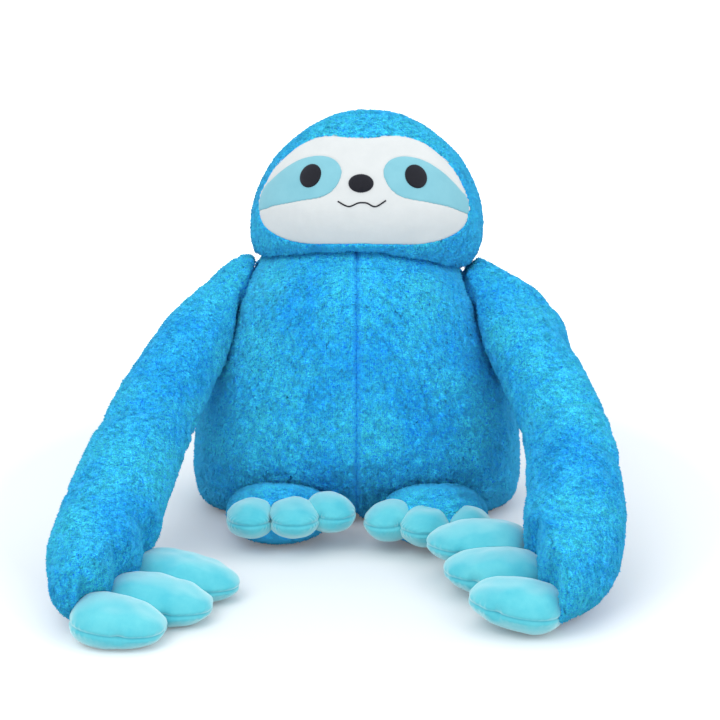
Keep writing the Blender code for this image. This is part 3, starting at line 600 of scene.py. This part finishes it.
def makeThreadFinish():  # satin embroidery, rows of thread side by side
    material, tree, shader = newFinish("darkThread", 0.5, 0.15, (0.6, 0.6, 0.8, 1))
    where = tree.nodes.new("ShaderNodeTexCoord").outputs["Object"]
    rows = nodeIn(tree, "ShaderNodeTexWave", Vector=where, Scale=420.0, Distortion=1.2, Detail=2.0)
    rows.bands_direction = "X"
    fibres = noiseAt(tree, where, 1500.0, 2)
    colour = mixColours(tree, fibres, (0.003, 0.003, 0.006, 1), (0.011, 0.011, 0.018, 1))
    tree.links.new(colour, shader.inputs["Base Color"])
    height = mathNode(tree, "ADD", rows.outputs["Fac"], mathNode(tree, "MULTIPLY", fibres, 0.3))
    raiseFinish(tree, shader, 0.6, 0.0005, height)
    return material


threadFinish = makeThreadFinish()
seamFinish = groupFinish("foldedSeam", napGroup, seamLook, 0.9, 0.2, (0.6, 0.8, 1, 1), 0.4, 0.0008)
print("finishes made")


def finishPiece(item, material, body, nodes):
    item.data.materials.clear()
    item.data.materials.append(material)
    pick(item)
    bpy.ops.object.shade_smooth()
    if body:
        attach(item, body)
    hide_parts(*nodes)
    print("made", item.name, len(item.data.polygons), "faces")


# body: one stuffed form, sewn from two front panels and a back

bodyLook = {
    "voxel": 0.0062, "smooth": 8, "puff": 0.006, "socket": 0.0486, "held": 0.004, "flat": 0.012,
    "seamDepth": 0.0075, "seamWidth": 0.0042, "crumples": (0.0014, 0.001), "thinner": 0.65,
    "crease": {"across": 0.012, "up": 0.035, "width": 0.004, "height": 0.02, "share": 0.8},
    "waist": {"up": 0.075, "height": 0.03, "front": -0.05, "depth": 0.0015},
    # belly and line: painted shade low on the belly and along the centre seam
    "belly": {"top": 0.16, "fall": 0.12, "front": -0.02, "paintedShade": 0.6}, "line": 0.003, "lineShade": 0.95,
}


def makeBody():
    look = bodyLook
    crease, waist, belly = look["crease"], look["waist"], look["belly"]
    seamPlace = bodySizes["sideSeam"]
    form = makeBodyForm("bodyForm")
    whole = duplicate(form, "bodyWhole")
    for side in ("left", "right"):
        combine(whole, "DIFFERENCE", addBall(look["socket"], armRoute(side)[0]))

    def held(points):
        x, y, z = points.T
        middle = (np.abs(x) < look["held"]) & (y < seamPlace)
        return middle | (np.abs(y - seamPlace) < look["held"]) | (z < look["flat"])
    stuff(whole, look, held)
    points = pointsOf(whole)
    x, y, z = points.T
    fold = near(x - crease["across"], crease["width"]) * near(z - crease["up"], crease["height"])
    middle = np.maximum(near(x, look["seamWidth"]), crease["share"] * fold) * (y < 0)
    seams = np.maximum(middle, near(y - seamPlace, look["seamWidth"]))
    drawnIn = near(z - waist["up"], waist["height"]) * (y < waist["front"]) * waist["depth"]
    pressIn(whole, look["seamDepth"] * seams + drawnIn - crumples(points, *look["crumples"]))

    def amount(tips):
        return 1 - look["thinner"] * near(tips[:, 0], look["seamWidth"]) * (tips[:, 1] < 0)

    def shade(places):  # darker low on the belly, painted shade that partly stands for the look of the nap there, and along the centre seam, painted shade in its groove
        x, y, z = places.T
        low = np.clip((belly["top"] - z) / belly["fall"], 0, 1) * (y < belly["front"])
        return (1 - belly["paintedShade"] * low) * (1 - look["lineShade"] * near(x, look["line"]) * (y < 0))
    raisePile(whole, napDown, 11, amount, shade)
    keepOnFloor(whole)
    forward = ((0, seamPlace, 0), (0, -1, 0))
    panels = {  # its nodes and its cuts, each a place and the way that is kept
        "bodyFrontLeft": (["body_front_left"], [forward, ((0, 0, 0), (1, 0, 0))]),
        "bodyFrontRight": (["body_front_right"], [forward, ((0, 0, 0), (-1, 0, 0))]),
        "bodyBack": (["body_back", "body_filling"], [((0, seamPlace, 0), (0, 1, 0))]),
    }
    for name, (nodes, cuts) in panels.items():
        panel = duplicate(whole, name)
        for place, kept in cuts:
            editMesh(panel, (bpy.ops.mesh.bisect, {
                "plane_co": place, "plane_no": kept, "use_fill": True, "clear_inner": True}))
        finishPiece(panel, blueFinish, "torso", nodes)
    remove(whole)
    return form


bodyForm = makeBody()
bodyTree = BVHTree.FromObject(bodyForm, bpy.context.evaluated_depsgraph_get())


# head: a plush hood, recessed where the face panel is set in

faceSizes = {
    "middle": 0.008, "bottom": 0.425, "halfWidth": 0.152, "height": 0.142, "steps": 8,
    "outline": (
        (0.0, 0.995), (0.31, 1.012), (0.54, 0.95), (0.73, 0.81), (0.875, 0.64), (0.975, 0.43),
        (1.0, 0.26), (0.955, 0.12), (0.8, 0.03), (0.58, -0.015), (0.29, -0.01), (0.0, 0.0),
        (-0.29, -0.01), (-0.58, -0.015), (-0.79, 0.03), (-0.935, 0.12), (-0.98, 0.26),
        (-0.945, 0.43), (-0.85, 0.63), (-0.7, 0.8), (-0.52, 0.935), (-0.31, 1.005)),
    "patch": (
        (0.185, 0.7), (0.24, 0.81), (0.38, 0.85), (0.56, 0.81), (0.71, 0.72), (0.84, 0.6),
        (0.95, 0.465), (1.08, 0.29), (1.08, 0.19), (0.93, 0.265), (0.8, 0.335), (0.58, 0.405),
        (0.37, 0.46), (0.245, 0.555)),
    "cutterDepth": 0.08, "cutterPlace": -0.097, "frontOnly": -0.015, "overlap": 0.0015,
    "recess": 0.003, "panelDepth": 0.0012, "panelThickness": 0.003,
    "voxel": 0.0017, "edgeDepth": 0.0011, "edgeWidth": 0.0022, "uneven": 0.00035,
    "patchDepth": 0.0013, "patchEdge": 0.0012,
}


def facePoint(across, up):
    return Vector((
        faceSizes["middle"] + faceSizes["halfWidth"] * across,
        faceSizes["bottom"] + faceSizes["height"] * up))


def outlinePoints(shares, side=1, grown=0.0):
    loop = [Vector((side * across, up)) for across, up in shares]
    closed = loop[-1:] + loop + loop[:2]
    steps = faceSizes["steps"]
    points = [facePoint(*linePoint(closed, 1 + k / steps)) for k in range(len(loop) * steps)]
    turning = sum(points[k - 1].cross(points[k]) for k in range(len(points)))
    result = []
    for k, point in enumerate(points):
        along = (points[(k + 1) % len(points)] - points[k - 1]).normalized()
        result.append(point + Vector((along.y, -along.x)) * math.copysign(grown, turning))
    return result


def outlineCutter(outline):  # the outline drawn through the front of the head
    curve = bpy.data.curves.new("cutter", "CURVE")
    curve.dimensions = "2D"
    curve.fill_mode = "BOTH"
    curve.extrude = faceSizes["cutterDepth"]
    spline = curve.splines.new("POLY")
    spline.points.add(len(outline) - 1)
    for place, point in zip(spline.points, outline):
        place.co = (point.x, point.y, 0, 1)
    spline.use_cyclic_u = True
    item = bpy.data.objects.new("cutter", curve)
    bpy.context.scene.collection.objects.link(item)
    item.rotation_euler = (math.pi / 2, 0, 0)
    item.location = (0, faceSizes["cutterPlace"], 0)
    pick(item)
    bpy.ops.object.convert(target="MESH")
    bpy.ops.object.transform_apply(location=True, rotation=True, scale=True)
    editMesh(item, (bpy.ops.mesh.remove_doubles, {"threshold": 0.00001}), outsideOut)
    return item


def insideOutline(points, outline):  # distance in from the outline, negative outside it
    loop = np.array([p[:] for p in outline])
    ahead = np.roll(loop, -1, axis=0)
    flat = points[:, (0, 2)]
    inside = np.zeros(len(flat), bool)
    nearest = np.full(len(flat), 1e9)
    for (ax, ay), (bx, by) in zip(loop, ahead):
        crosses = (ay > flat[:, 1]) != (by > flat[:, 1])
        at = ax + (flat[:, 1] - ay) * (bx - ax) / ((by - ay) if by != ay else 1e-9)
        inside ^= crosses & (flat[:, 0] < at)
        t = np.clip(((flat - (ax, ay)) @ (bx - ax, by - ay)) / ((bx - ax) ** 2 + (by - ay) ** 2), 0, 1)
        gap = np.hypot(flat[:, 0] - ax - t * (bx - ax), flat[:, 1] - ay - t * (by - ay))
        nearest = np.minimum(nearest, gap)
    return np.where(inside & (points[:, 1] < faceSizes["frontOnly"]), nearest, -nearest)


headForm = makeHeadForm("headForm")
headTree = BVHTree.FromObject(headForm, bpy.context.evaluated_depsgraph_get())


def onFace(across, up):
    place, normal, _, _ = headTree.ray_cast(Vector((across, -0.3, up)), Vector((0, 1, 0)))
    return place, normal


hoodLook = {
    "voxel": 0.0058, "smooth": 5, "puff": 0.005, "held": 0.003, "rim": 0.375,
    "seamDepth": 0.003, "seamWidth": 0.005, "seamFrom": 0.02, "edge": 0.003,
    "bare": 0.002, "neckBare": 0.006, "brow": 0.575, "browHeight": 0.03, "browLean": 0.8,
}


def makeHood():
    look = hoodLook
    hood = duplicate(headForm, "headHood")
    neck = (0, 0, bodySizes["neckHeight"])
    combine(hood, "DIFFERENCE", addBall(headSizes["hollow"], neck, 96, 64))

    def held(points):
        x, y, z = points.T
        crown = (np.abs(x - headSizes["sideShift"]) < look["held"]) & (y > 0.0)
        return crown | (z < look["rim"])
    stuff(hood, look, held)
    outline = outlinePoints(faceSizes["outline"])
    points = pointsOf(hood)
    back = near(points[:, 0] - headSizes["sideShift"], look["seamWidth"]) * (points[:, 1] > look["seamFrom"])
    recess = np.clip(insideOutline(points, outline) / look["edge"] + 0.5, 0, 1) * faceSizes["recess"]
    pressIn(hood, recess + look["seamDepth"] * back)

    def amount(tips):
        away = np.linalg.norm(tips - neck, axis=1) - headSizes["hollow"]
        clear = np.clip(-insideOutline(tips, outline) / look["bare"] + 0.6, 0, 1)
        return clear * np.clip(away / look["neckBare"], 0, 1)

    def nap(tips):  # down from the crown, and forward over the brow
        lying = napDown(tips)
        brow = near(tips[:, 2] - look["brow"], look["browHeight"]) * (tips[:, 1] < 0)
        lying[:, 1] -= brow * look["browLean"]
        return lying
    raisePile(hood, nap, 23, amount)
    finishPiece(hood, blueFinish, "head", ["head_hood", "head_filling"])


makeHood()


def settlePanel(panel, outline):  # dense cloth, rolled down along its sewn edge
    sizes = faceSizes
    remesh(panel, sizes["voxel"], 2)
    points = pointsOf(panel)
    uneven = noiseOf(points, 34) + 0.5 * noiseOf(points, 90)
    edge = near(insideOutline(points, outline), sizes["edgeWidth"])
    pressIn(panel, sizes["edgeDepth"] * edge + sizes["uneven"] * uneven)


def makeFace():
    sizes = faceSizes
    shell = duplicate(headForm, "faceShell")
    alongNormals(shell, -sizes["panelDepth"])
    inside = duplicate(shell, "faceInside")
    alongNormals(inside, -sizes["panelThickness"])
    outline = outlinePoints(sizes["outline"], grown=sizes["overlap"])
    combine(shell, "DIFFERENCE", inside)
    combine(shell, "INTERSECT", outlineCutter(outline))
    face = duplicate(shell, "facePanel")
    patchLines = []
    for name, side, node in (("eyePatchLeft", 1, "eye_patch_left"), ("eyePatchRight", -1, "eye_patch_right")):
        patchLine = outlinePoints(sizes["patch"], side)
        patch = duplicate(shell, name)
        combine(patch, "INTERSECT", outlineCutter(patchLine))
        settlePanel(patch, patchLine)
        finishPiece(patch, patchFinish, "head", [node])
        patchLines.append(patchLine)
    settlePanel(face, outline)
    under = np.maximum(*(insideOutline(pointsOf(face), line) for line in patchLines))
    pressIn(face, sizes["patchDepth"] * np.clip(under / sizes["patchEdge"], 0, 1))
    finishPiece(face, whiteFinish, "head", ["face_panel"])
    remove(shell)


makeFace()

# embroidery: eyes, nose and mouth

eyeHalf = (0.0162, 0.0176)
buttonLooks = {
    "eyeLeft": {"at": (0.5, 0.658), "half": eyeHalf, "tilt": 26, "rise": 0.003, "node": "eye_left"},
    "eyeRight": {"at": (-0.486, 0.658), "half": eyeHalf, "tilt": -26, "rise": 0.003, "node": "eye_right"},
    "nose": {"at": (-0.013, 0.605), "half": (0.0177, 0.0134), "tilt": 0, "rise": 0.0048, "node": "nose"},
}
satin = {
    "sides": 120, "rings": 60, "ragged": 0.018, "teeth": 34, "row": 0.00035, "rowHeight": 0.00016, "round": 0.7,
}


def makeButton(name, look):  # rows of satin stitch over a little padding, lying on the face
    item = addBall(1.0, sides=satin["sides"], rings=satin["rings"])
    item.name = name
    centre = facePoint(*look["at"])
    _, normal = onFace(*centre)
    across = Vector((1, 0, 0))
    across = (across - across.dot(normal) * normal).normalized()
    upwards = normal.cross(across).normalized()
    tilt = math.radians(look["tilt"])
    points = pointsOf(item)
    for k, (x, y, z) in enumerate(points):
        wide, tall = x * look["half"][0], y * look["half"][1]
        ragged = 1 + satin["ragged"] * math.sin(math.atan2(y, x) * satin["teeth"]) * math.hypot(x, y)
        out = (wide * math.cos(tilt) - tall * math.sin(tilt)) * ragged
        up = (wide * math.sin(tilt) + tall * math.cos(tilt)) * ragged
        offset = across * out + upwards * up
        place, _ = onFace(centre.x + offset.x, centre.y + offset.z)
        full = z ** satin["round"] if z > 0 else z * 0.5
        rows = satin["rowHeight"] * math.sin(wide / satin["row"]) * max(z, 0)
        points[k] = place + normal * (look["rise"] * full + rows - faceSizes["panelDepth"])
    setPoints(item, points)
    editMesh(item, outsideOut)
    finishPiece(item, threadFinish, "head", [look["node"]])


for name, look in buttonLooks.items():
    makeButton(name, look)

mouthLook = {
    "line": ((-0.225, 0.432), (-0.13, 0.386), (-0.045, 0.419), (0.0, 0.424), (0.045, 0.419),
             (0.12, 0.386), (0.215, 0.442)),
    "steps": 60, "spacing": 0.0011, "stitch": 0.0026, "thick": 0.00075, "raised": 0.6, "slant": 62,
}


def makeMouth():  # short slanted satin stitches, side by side along the smile
    look = mouthLook
    line = [Vector(p) for p in look["line"]]
    trail = [facePoint(*linePoint(line, k / look["steps"])) for k in range((len(line) - 1) * look["steps"] + 1)]
    spots, walked = [trail[0]], 0.0
    for before, after in zip(trail, trail[1:]):
        walked += (after - before).length
        if walked >= look["spacing"]:
            spots.append(after)
            walked = 0.0
    stitches = []
    for k, spot in enumerate(spots):
        onward = spots[min(k + 1, len(spots) - 1)] - spots[max(k - 1, 0)]
        place, normal = onFace(*spot)
        ahead = Vector((onward.x, 0, onward.y)).normalized()
        ahead = (ahead - ahead.dot(normal) * normal).normalized()
        lying = Matrix.Rotation(math.radians(look["slant"]), 3, normal) @ ahead
        stitch = addBall(1.0, sides=10, rings=8)
        turn = Matrix((lying, normal.cross(lying), normal)).transposed()
        size = Matrix.Diagonal((look["stitch"] / 2, look["thick"], look["thick"]))
        centre = place + normal * (look["thick"] * look["raised"] - faceSizes["panelDepth"])
        stitch.data.transform(Matrix.Translation(centre) @ (turn @ size).to_4x4())
        stitches.append(stitch)
    mouth = joined(stitches)
    mouth.name = "mouthStitching"
    finishPiece(mouth, threadFinish, "head", ["mouth_stitching"])


makeMouth()

# arms: one soft sleeve each, curved along the arm's route through the elbow

armLook = {
    "voxel": 0.006, "smooth": 6, "puff": 0.006, "slim": 0.002, "padSides": 40, "underHead": 0.0005,
    "ball": 0.0445, "held": 0.05, "flat": 0.01, "crumples": (0.0024, 0.0012),
    "creaseWidth": 0.01, "creaseBow": 0.006, "creaseWaves": 60,
    # the last three keys on this line: painted shade in the groove beside the body, its reach, width and strength
    "bareWithin": 0.16, "bare": 0.004, "shadeWithin": 0.3, "shadeWidth": 0.022, "paintedShade": 0.6,
    "capRadius": 0.038, "caps": {"left": (0.188, -0.01, 0.334), "right": (-0.178, -0.006, 0.339)},
    "pads": {  # cloth drawn over the shoulder toward the head: place, radius
        "left": (
            ((0.136, -0.006, 0.356), 0.0), ((0.14, -0.006, 0.356), 0.024), ((0.154, -0.007, 0.355), 0.035),
            ((0.184, -0.011, 0.338), 0.04), ((0.23, -0.03, 0.307), 0.049), ((0.256, -0.055, 0.273), 0.055),
            ((0.274, -0.095, 0.24), 0.048), ((0.282, -0.125, 0.222), 0.0)),
        "right": (
            ((-0.134, -0.006, 0.358), 0.0), ((-0.138, -0.006, 0.358), 0.024),
            ((-0.152, -0.007, 0.355), 0.035), ((-0.179, -0.009, 0.339), 0.039),
            ((-0.215, -0.03, 0.289), 0.045), ((-0.25, -0.06, 0.25), 0.048),
            ((-0.27, -0.1, 0.22), 0.0)),
    },
    "creases": {  # place, reach across the arm, depth
        "left": (((0.3, -0.235, 0.215), 0.05, 0.009), ((0.262, -0.19, 0.16), 0.04, 0.011),
                 ((0.335, -0.3, 0.165), 0.05, 0.006), ((0.25, -0.06, 0.3), 0.04, 0.006)),
        "right": (((-0.262, -0.19, 0.16), 0.04, 0.011), ((-0.32, -0.25, 0.205), 0.05, 0.007),
                  ((-0.345, -0.36, 0.13), 0.05, 0.006)),
    },
}
clawLook = {
    "handRadius": 0.0345, "footRadius": 0.0315, "handShape": (1.26, 0.92, 0.0, 0.0045),
    "segments": 64, "rings": 48, "puff": 0.003, "held": 0.0012, "baseHeld": 0.12, "broaden": 0.28,
    "seamDepth": 0.0016, "seamWidth": 0.0022, "swellPlace": 0.005, "swellWidth": 0.003, "swell": 0.0004,
    "gathers": 95, "uneven": 0.002, "pinch": 0.62, "pinchDepth": 0.005, "pinchWidth": 0.008,
    # the first three keys on this line: painted shade along the seam groove and in the pinched dimple, its
    # strength and widths
    "paintedShade": 0.55, "seamShadeWidth": 0.0014, "pinchShadeWidth": 0.003, "bared": 0.3, "tighter": 0.005,
    "clearings": ((0, 0, 0), (0, -0.13, 0.05), (0, -0.07, 0.13)),
    "radii": ((0.0, 0.0), (0.03, 0.46), (0.09, 0.76), (0.2, 0.95), (0.34, 1.0), (0.54, 0.96),
              (0.72, 0.82), (0.85, 0.63), (0.93, 0.45), (0.98, 0.26), (1.0, 0.0)),
}
handClaws = {  # base, tip
    "right": (
        ((-0.3, -0.385, 0.04), (-0.157, -0.412, 0.026)),
        ((-0.325, -0.465, 0.038), (-0.186, -0.48, 0.024)),
        ((-0.358, -0.528, 0.0355), (-0.24, -0.55, 0.024))),
    "left": (
        ((0.232, -0.35, 0.058), (0.098, -0.318, 0.054)), ((0.25, -0.425, 0.044), (0.118, -0.378, 0.04)),
        ((0.262, -0.524, 0.0355), (0.148, -0.478, 0.044))),
}


def makeClearing(start, tip):  # room in front of a claw and above it, where the hand ends
    look = clawLook
    start, tip = Vector(start), Vector(tip)
    rooms = []
    for end in (start.lerp(tip, look["bared"]), tip):
        for shift in look["clearings"]:
            room = addBall(look["handRadius"] - look["tighter"], sides=16, rings=12)
            setPoints(room, pointsOf(room) + np.array(end + Vector(shift)))
            rooms.append(room)
    room = joined(rooms)
    editMesh(room, (bpy.ops.mesh.convex_hull, {}), outsideOut)
    return room


def makeArm(side):
    look = armLook
    shoulder = armRoute(side)[0]
    sleeve = makeArmForm("armSleeve" + side.title(), side)
    pad = [(Vector(place), radius) for place, radius in look["pads"][side]]
    combine(sleeve, "UNION", ballAlongLine("pad", pad, look["padSides"]))
    combine(sleeve, "DIFFERENCE", bodyForm, keep=True)
    head = duplicate(headForm, "headAbove")
    alongNormals(head, look["underHead"])
    combine(sleeve, "DIFFERENCE", head)
    combine(sleeve, "UNION", addBall(look["ball"], shoulder), addBall(look["capRadius"], look["caps"][side]))
    combine(sleeve, "DIFFERENCE", *(makeClearing(*ends) for ends in handClaws[side]))

    def fromShoulder(points):
        return np.linalg.norm(points - np.array(shoulder), axis=1)
    stuff(sleeve, look, lambda points: (fromShoulder(points) < look["held"]) | (points[:, 2] < look["flat"]))
    places, ahead = armSpine(side)
    points = pointsOf(sleeve)
    depth = np.zeros(len(points))
    for centre, reach, deep in look["creases"][side]:
        along = ahead[closest(places, centre)]
        offset = points - centre
        s = offset @ along
        wide = np.linalg.norm(offset - s[:, None] * along, axis=1)
        bow = s - look["creaseBow"] * np.sin(wide * look["creaseWaves"])
        depth += deep * near(bow, look["creaseWidth"]) * near(wide, reach)
    pressIn(sleeve, depth - crumples(points, *look["crumples"]))

    def nap(tips):
        return ahead[[closest(places, tip) for tip in tips]]

    def amount(tips):  # none where the body covers the shoulder
        share = np.ones(len(tips))
        for k in np.nonzero(fromShoulder(tips) < look["bareWithin"])[0]:
            place, normal, _, _ = bodyTree.find_nearest(Vector(tips[k]))
            share[k] = min(max((Vector(tips[k]) - place).dot(normal) / look["bare"], 0), 1)
        return share

    def shade(places):  # painted shade: darker in the groove beside the body
        deep = np.zeros(len(places))
        for k in np.nonzero(fromShoulder(places) < look["shadeWithin"])[0]:
            deep[k] = near(bodyTree.find_nearest(Vector(places[k]))[3], look["shadeWidth"])
        return 1 - look["paintedShade"] * deep
    raisePile(sleeve, nap, 31 if side == "left" else 37, amount, shade)
    keepOnFloor(sleeve)
    elbow = armRoute(side)[armSizes["elbow"]]
    along = Vector(ahead[closest(places, np.array(elbow))])
    finishPiece(sleeve, blueFinish, None, [
        "upper_arm_cover_" + side, "upper_arm_filling_" + side, "forearm_cover_" + side,
        "forearm_filling_" + side])
    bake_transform(sleeve)


# claws: plump almonds sewn from two halves, each pressed against the one before it

def makeClaw(name, ends, radius, shape, largerOnes, body, node):  # shape: wide, tall, seam's height, sunk
    look = clawLook
    wide, tall, seamHeight, sunk = shape
    start, tip = [Vector(end) - Vector((0, 0, sunk)) for end in ends]
    rings = []
    for share in endedShares(look["rings"]):
        rings.append((start.lerp(tip, share), (radius - look["puff"] / 2) * tableValue(look["radii"], share)))
    claw = ballAlongLine(name, rings, look["segments"])
    along = (tip - start).normalized()
    across = np.array(Vector((along.y, -along.x, 0)).normalized())

    def measured(points):  # share of the length, way out from the spine, height over the seam
        offset = points - np.array(start)
        share = np.clip(offset @ np.array(along) / (tip - start).length, 0, 1)
        out = offset - share[:, None] * np.array(tip - start)
        return share, out, out[:, 2] - seamHeight * radius

    points = pointsOf(claw)
    share, out, _ = measured(points)
    sideways = (out @ across)[:, None] * across
    broad = wide * (1 + look["broaden"] * share[:, None])
    points += sideways * (broad - 1) + (out - sideways) * (tall - 1)
    setPoints(claw, points)
    share, _, over = measured(points)
    puffUp(claw, (np.abs(over) < look["held"]) | (share < look["baseHeld"]), look["puff"], 3.0)
    applyModifier(claw, "SUBSURF", levels=1, render_levels=1)
    points = pointsOf(claw)
    share, out, over = measured(points)
    swell = near(np.abs(over) - look["swellPlace"], look["swellWidth"])
    gathers = np.sin(share * look["gathers"] + 2 * noiseOf(points, 40))
    front = np.nonzero((np.abs(over) < 0.003) & (out[:, 1] < 0))[0]
    pinch = np.linalg.norm(points - points[front[np.argmin(np.abs(share[front] - look["pinch"]))]], axis=1)
    pressIn(claw, look["seamDepth"] * near(over, look["seamWidth"]) - look["swell"] * swell * (1 + gathers)
            + look["uneven"] * noiseOf(points, 45) + look["pinchDepth"] * near(pinch, look["pinchWidth"]))
    keepOnFloor(claw)
    # the seam mark: painted shade along the seam groove and in the pinched dimple
    markPoints(claw, "seam", look["paintedShade"] * np.maximum(
        near(over, look["seamShadeWidth"]), near(pinch, look["pinchShadeWidth"])))
    plain = duplicate(claw, name + "Plain")
    combine(claw, "DIFFERENCE", *largerOnes, keep=True)
    largerOnes.append(plain)
    finishPiece(claw, aquaFinish, body, [node])


for side in ("left", "right"):
    makeArm(side)
    largerOnes = []
    for number, ends in reversed(list(enumerate(handClaws[side], 1))):
        makeClaw("handClaw%s%d" % (side.title(), number), ends, clawLook["handRadius"], clawLook["handShape"],
                 largerOnes, "forearm_" + side, "hand_claw_%s_%d" % (side, number))
    remove(*largerOnes)

# feet: low pads at the front of the base with three claws each

footSizes = {
    "middles": {"left": (0.112, -0.188, 0.0405), "right": (-0.112, -0.18, 0.0405)},
    "halfWidth": 0.079, "halfLength": 0.074, "halfHeight": 0.041, "power": 2.2, "swell": 0.85,
    "rings": 48, "sides": 64, "voxel": 0.0055, "smooth": 5, "puff": 0.004, "flat": 0.01, "sewnIn": 0.002,
    "claws": (  # base and tip from the middle, shape
        (((-0.05, -0.02, 0.063), (-0.1, -0.07, 0.06)), (1.0, 0.9, 0.12, 0.007)),
        (((-0.022, -0.028, 0.06), (-0.025, -0.098, 0.058)), (1.08, 0.88, 0.12, 0.007)),
        (((0.035, -0.026, 0.058), (0.04, -0.092, 0.056)), (1.0, 0.86, 0.12, 0.007))),
    "clawShift": {"left": (0.008, 0.002, -0.01), "right": (0.0, 0.0, 0.0)},
}


def makeFoot(side):
    sizes = footSizes
    middle = Vector(sizes["middles"][side])
    rings = []
    for k in range(sizes["rings"] + 1):
        angle = math.pi * k / sizes["rings"]
        out = math.sin(angle) ** sizes["swell"]
        rings.append((
            middle + Vector((0, 0, -math.cos(angle) * sizes["halfHeight"])), sizes["halfWidth"] * out,
            sizes["halfLength"] * out, sizes["halfLength"] * out, sizes["power"]))
    form = ballOfRings("foot" + side, rings, sizes["sides"])
    foot = duplicate(form, "foot" + side.title())
    combine(foot, "DIFFERENCE", bodyForm, keep=True)
    stuff(foot, sizes, lambda points: points[:, 2] < sizes["flat"])
    raisePile(foot, napDown, 41 if side == "left" else 43)
    keepOnFloor(foot)
    finishPiece(foot, blueFinish, "foot_" + side, [
        "foot_cover_" + side, "foot_filling_" + side])
    alongNormals(form, -sizes["sewnIn"])
    largerOnes = [form]
    outwards = 1 if side == "left" else -1
    for number, (ends, shape) in enumerate(sizes["claws"], 1):
        shift = Vector(sizes["clawShift"][side])
        places = [Vector((middle.x + outwards * x, middle.y + y, z)) + shift for x, y, z in ends]
        makeClaw("footClaw%s%d" % (side.title(), number), places, clawLook["footRadius"], shape, largerOnes,
                 "foot_" + side, "foot_claw_%s_%d" % (side, number))
    remove(*largerOnes)


for side in ("left", "right"):
    makeFoot(side)
remove(bodyForm, headForm)

# folded seams inside the neck and shoulders stay as they are
for name in ("neck_seam", "shoulder_seam_left", "shoulder_seam_right"):
    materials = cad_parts[name].data.materials
    materials.clear()
    materials.append(seamFinish)
print("pieces made")

# floor, light and camera

studio = {
    "floor": (0.7, 0.72, 0.735, 1), "size": 40, "glow": 0.11, "whiteFrom": 0.55, "whiteTo": 1.3,
    "air": 1.06, "airTint": (0.93, 0.975, 1.0, 1), "aim": (0, -0.1, 0.25),
    "lamps": {  # place, size, power
        "keyLamp": ((-1.1, -2.0, 2.3), 1.8, 30), "fillLamp": ((1.9, -1.7, 1.5), 2.0, 18),
        "topLamp": ((0.2, 0.6, 2.6), 2.2, 9)},
}


def makeFloor():  # pale beside the toy, plain white away from it
    bpy.ops.mesh.primitive_plane_add(size=studio["size"], location=(0, 0, 0))
    floor = bpy.context.object
    floor.name = "studioFloor"
    material = bpy.data.materials.new("paleFloor")
    material.use_nodes = True
    tree = material.node_tree
    inputs = tree.nodes["Principled BSDF"].inputs
    away = nodeIn(tree, "ShaderNodeVectorMath", Vector=tree.nodes.new("ShaderNodeTexCoord").outputs["Object"])
    away.operation = "LENGTH"
    far = spread(tree, away.outputs["Value"], studio["whiteFrom"], studio["whiteTo"])
    glow = mathNode(tree, "ADD", mathNode(tree, "MULTIPLY", far, 1 - studio["glow"]), studio["glow"])
    seen = mathNode(tree, "MULTIPLY", glow, tree.nodes.new("ShaderNodeLightPath").outputs["Is Camera Ray"])
    feed(tree, (studio["floor"], inputs["Base Color"]), (0.9, inputs["Roughness"]),
         (0.1, inputs["Specular IOR Level"]), ((1, 1, 1, 1), inputs["Emission Color"]),
         (seen, inputs["Emission Strength"]))
    floor.data.materials.append(material)


def makeLight():
    for name, (place, size, power) in studio["lamps"].items():
        bpy.ops.object.light_add(type="AREA", location=place)
        lamp = bpy.context.object
        lamp.name = name
        lamp.data.size = size
        lamp.data.energy = power
        lamp.rotation_mode = "QUATERNION"
        lamp.rotation_quaternion = (Vector(studio["aim"]) - Vector(place)).to_track_quat("-Z", "Y")
    world = bpy.context.scene.world or bpy.data.worlds.new("studioAir")
    bpy.context.scene.world = world
    world.use_nodes = True
    tree = world.node_tree
    air = tree.nodes["Background"].inputs
    toCamera = tree.nodes.new("ShaderNodeLightPath").outputs["Is Camera Ray"]
    strength = tree.nodes.new("ShaderNodeMix")
    feed(tree, (mixColours(tree, toCamera, studio["airTint"], (1, 1, 1, 1)), air["Color"]),
         (toCamera, strength.inputs[0]), (studio["air"], strength.inputs[2]), (1.0, strength.inputs[3]),
         (strength.outputs[0], air["Strength"]))


makeFloor()
makeLight()

cameraLook = {"place": (0.0046, -2.6308, 0.9476), "pitch": 74.5, "lens": 90, "sensor": 36}
camera = bpy.data.objects.new("photoCamera", bpy.data.cameras.new("photoCamera"))
bpy.context.scene.collection.objects.link(camera)
camera.location = cameraLook["place"]
camera.rotation_euler = (math.radians(cameraLook["pitch"]), 0, 0)
camera.data.lens = cameraLook["lens"]
camera.data.sensor_width = cameraLook["sensor"]
bpy.context.scene.camera = camera
bpy.context.scene.view_settings.view_transform = "Standard"

print("scene ready")
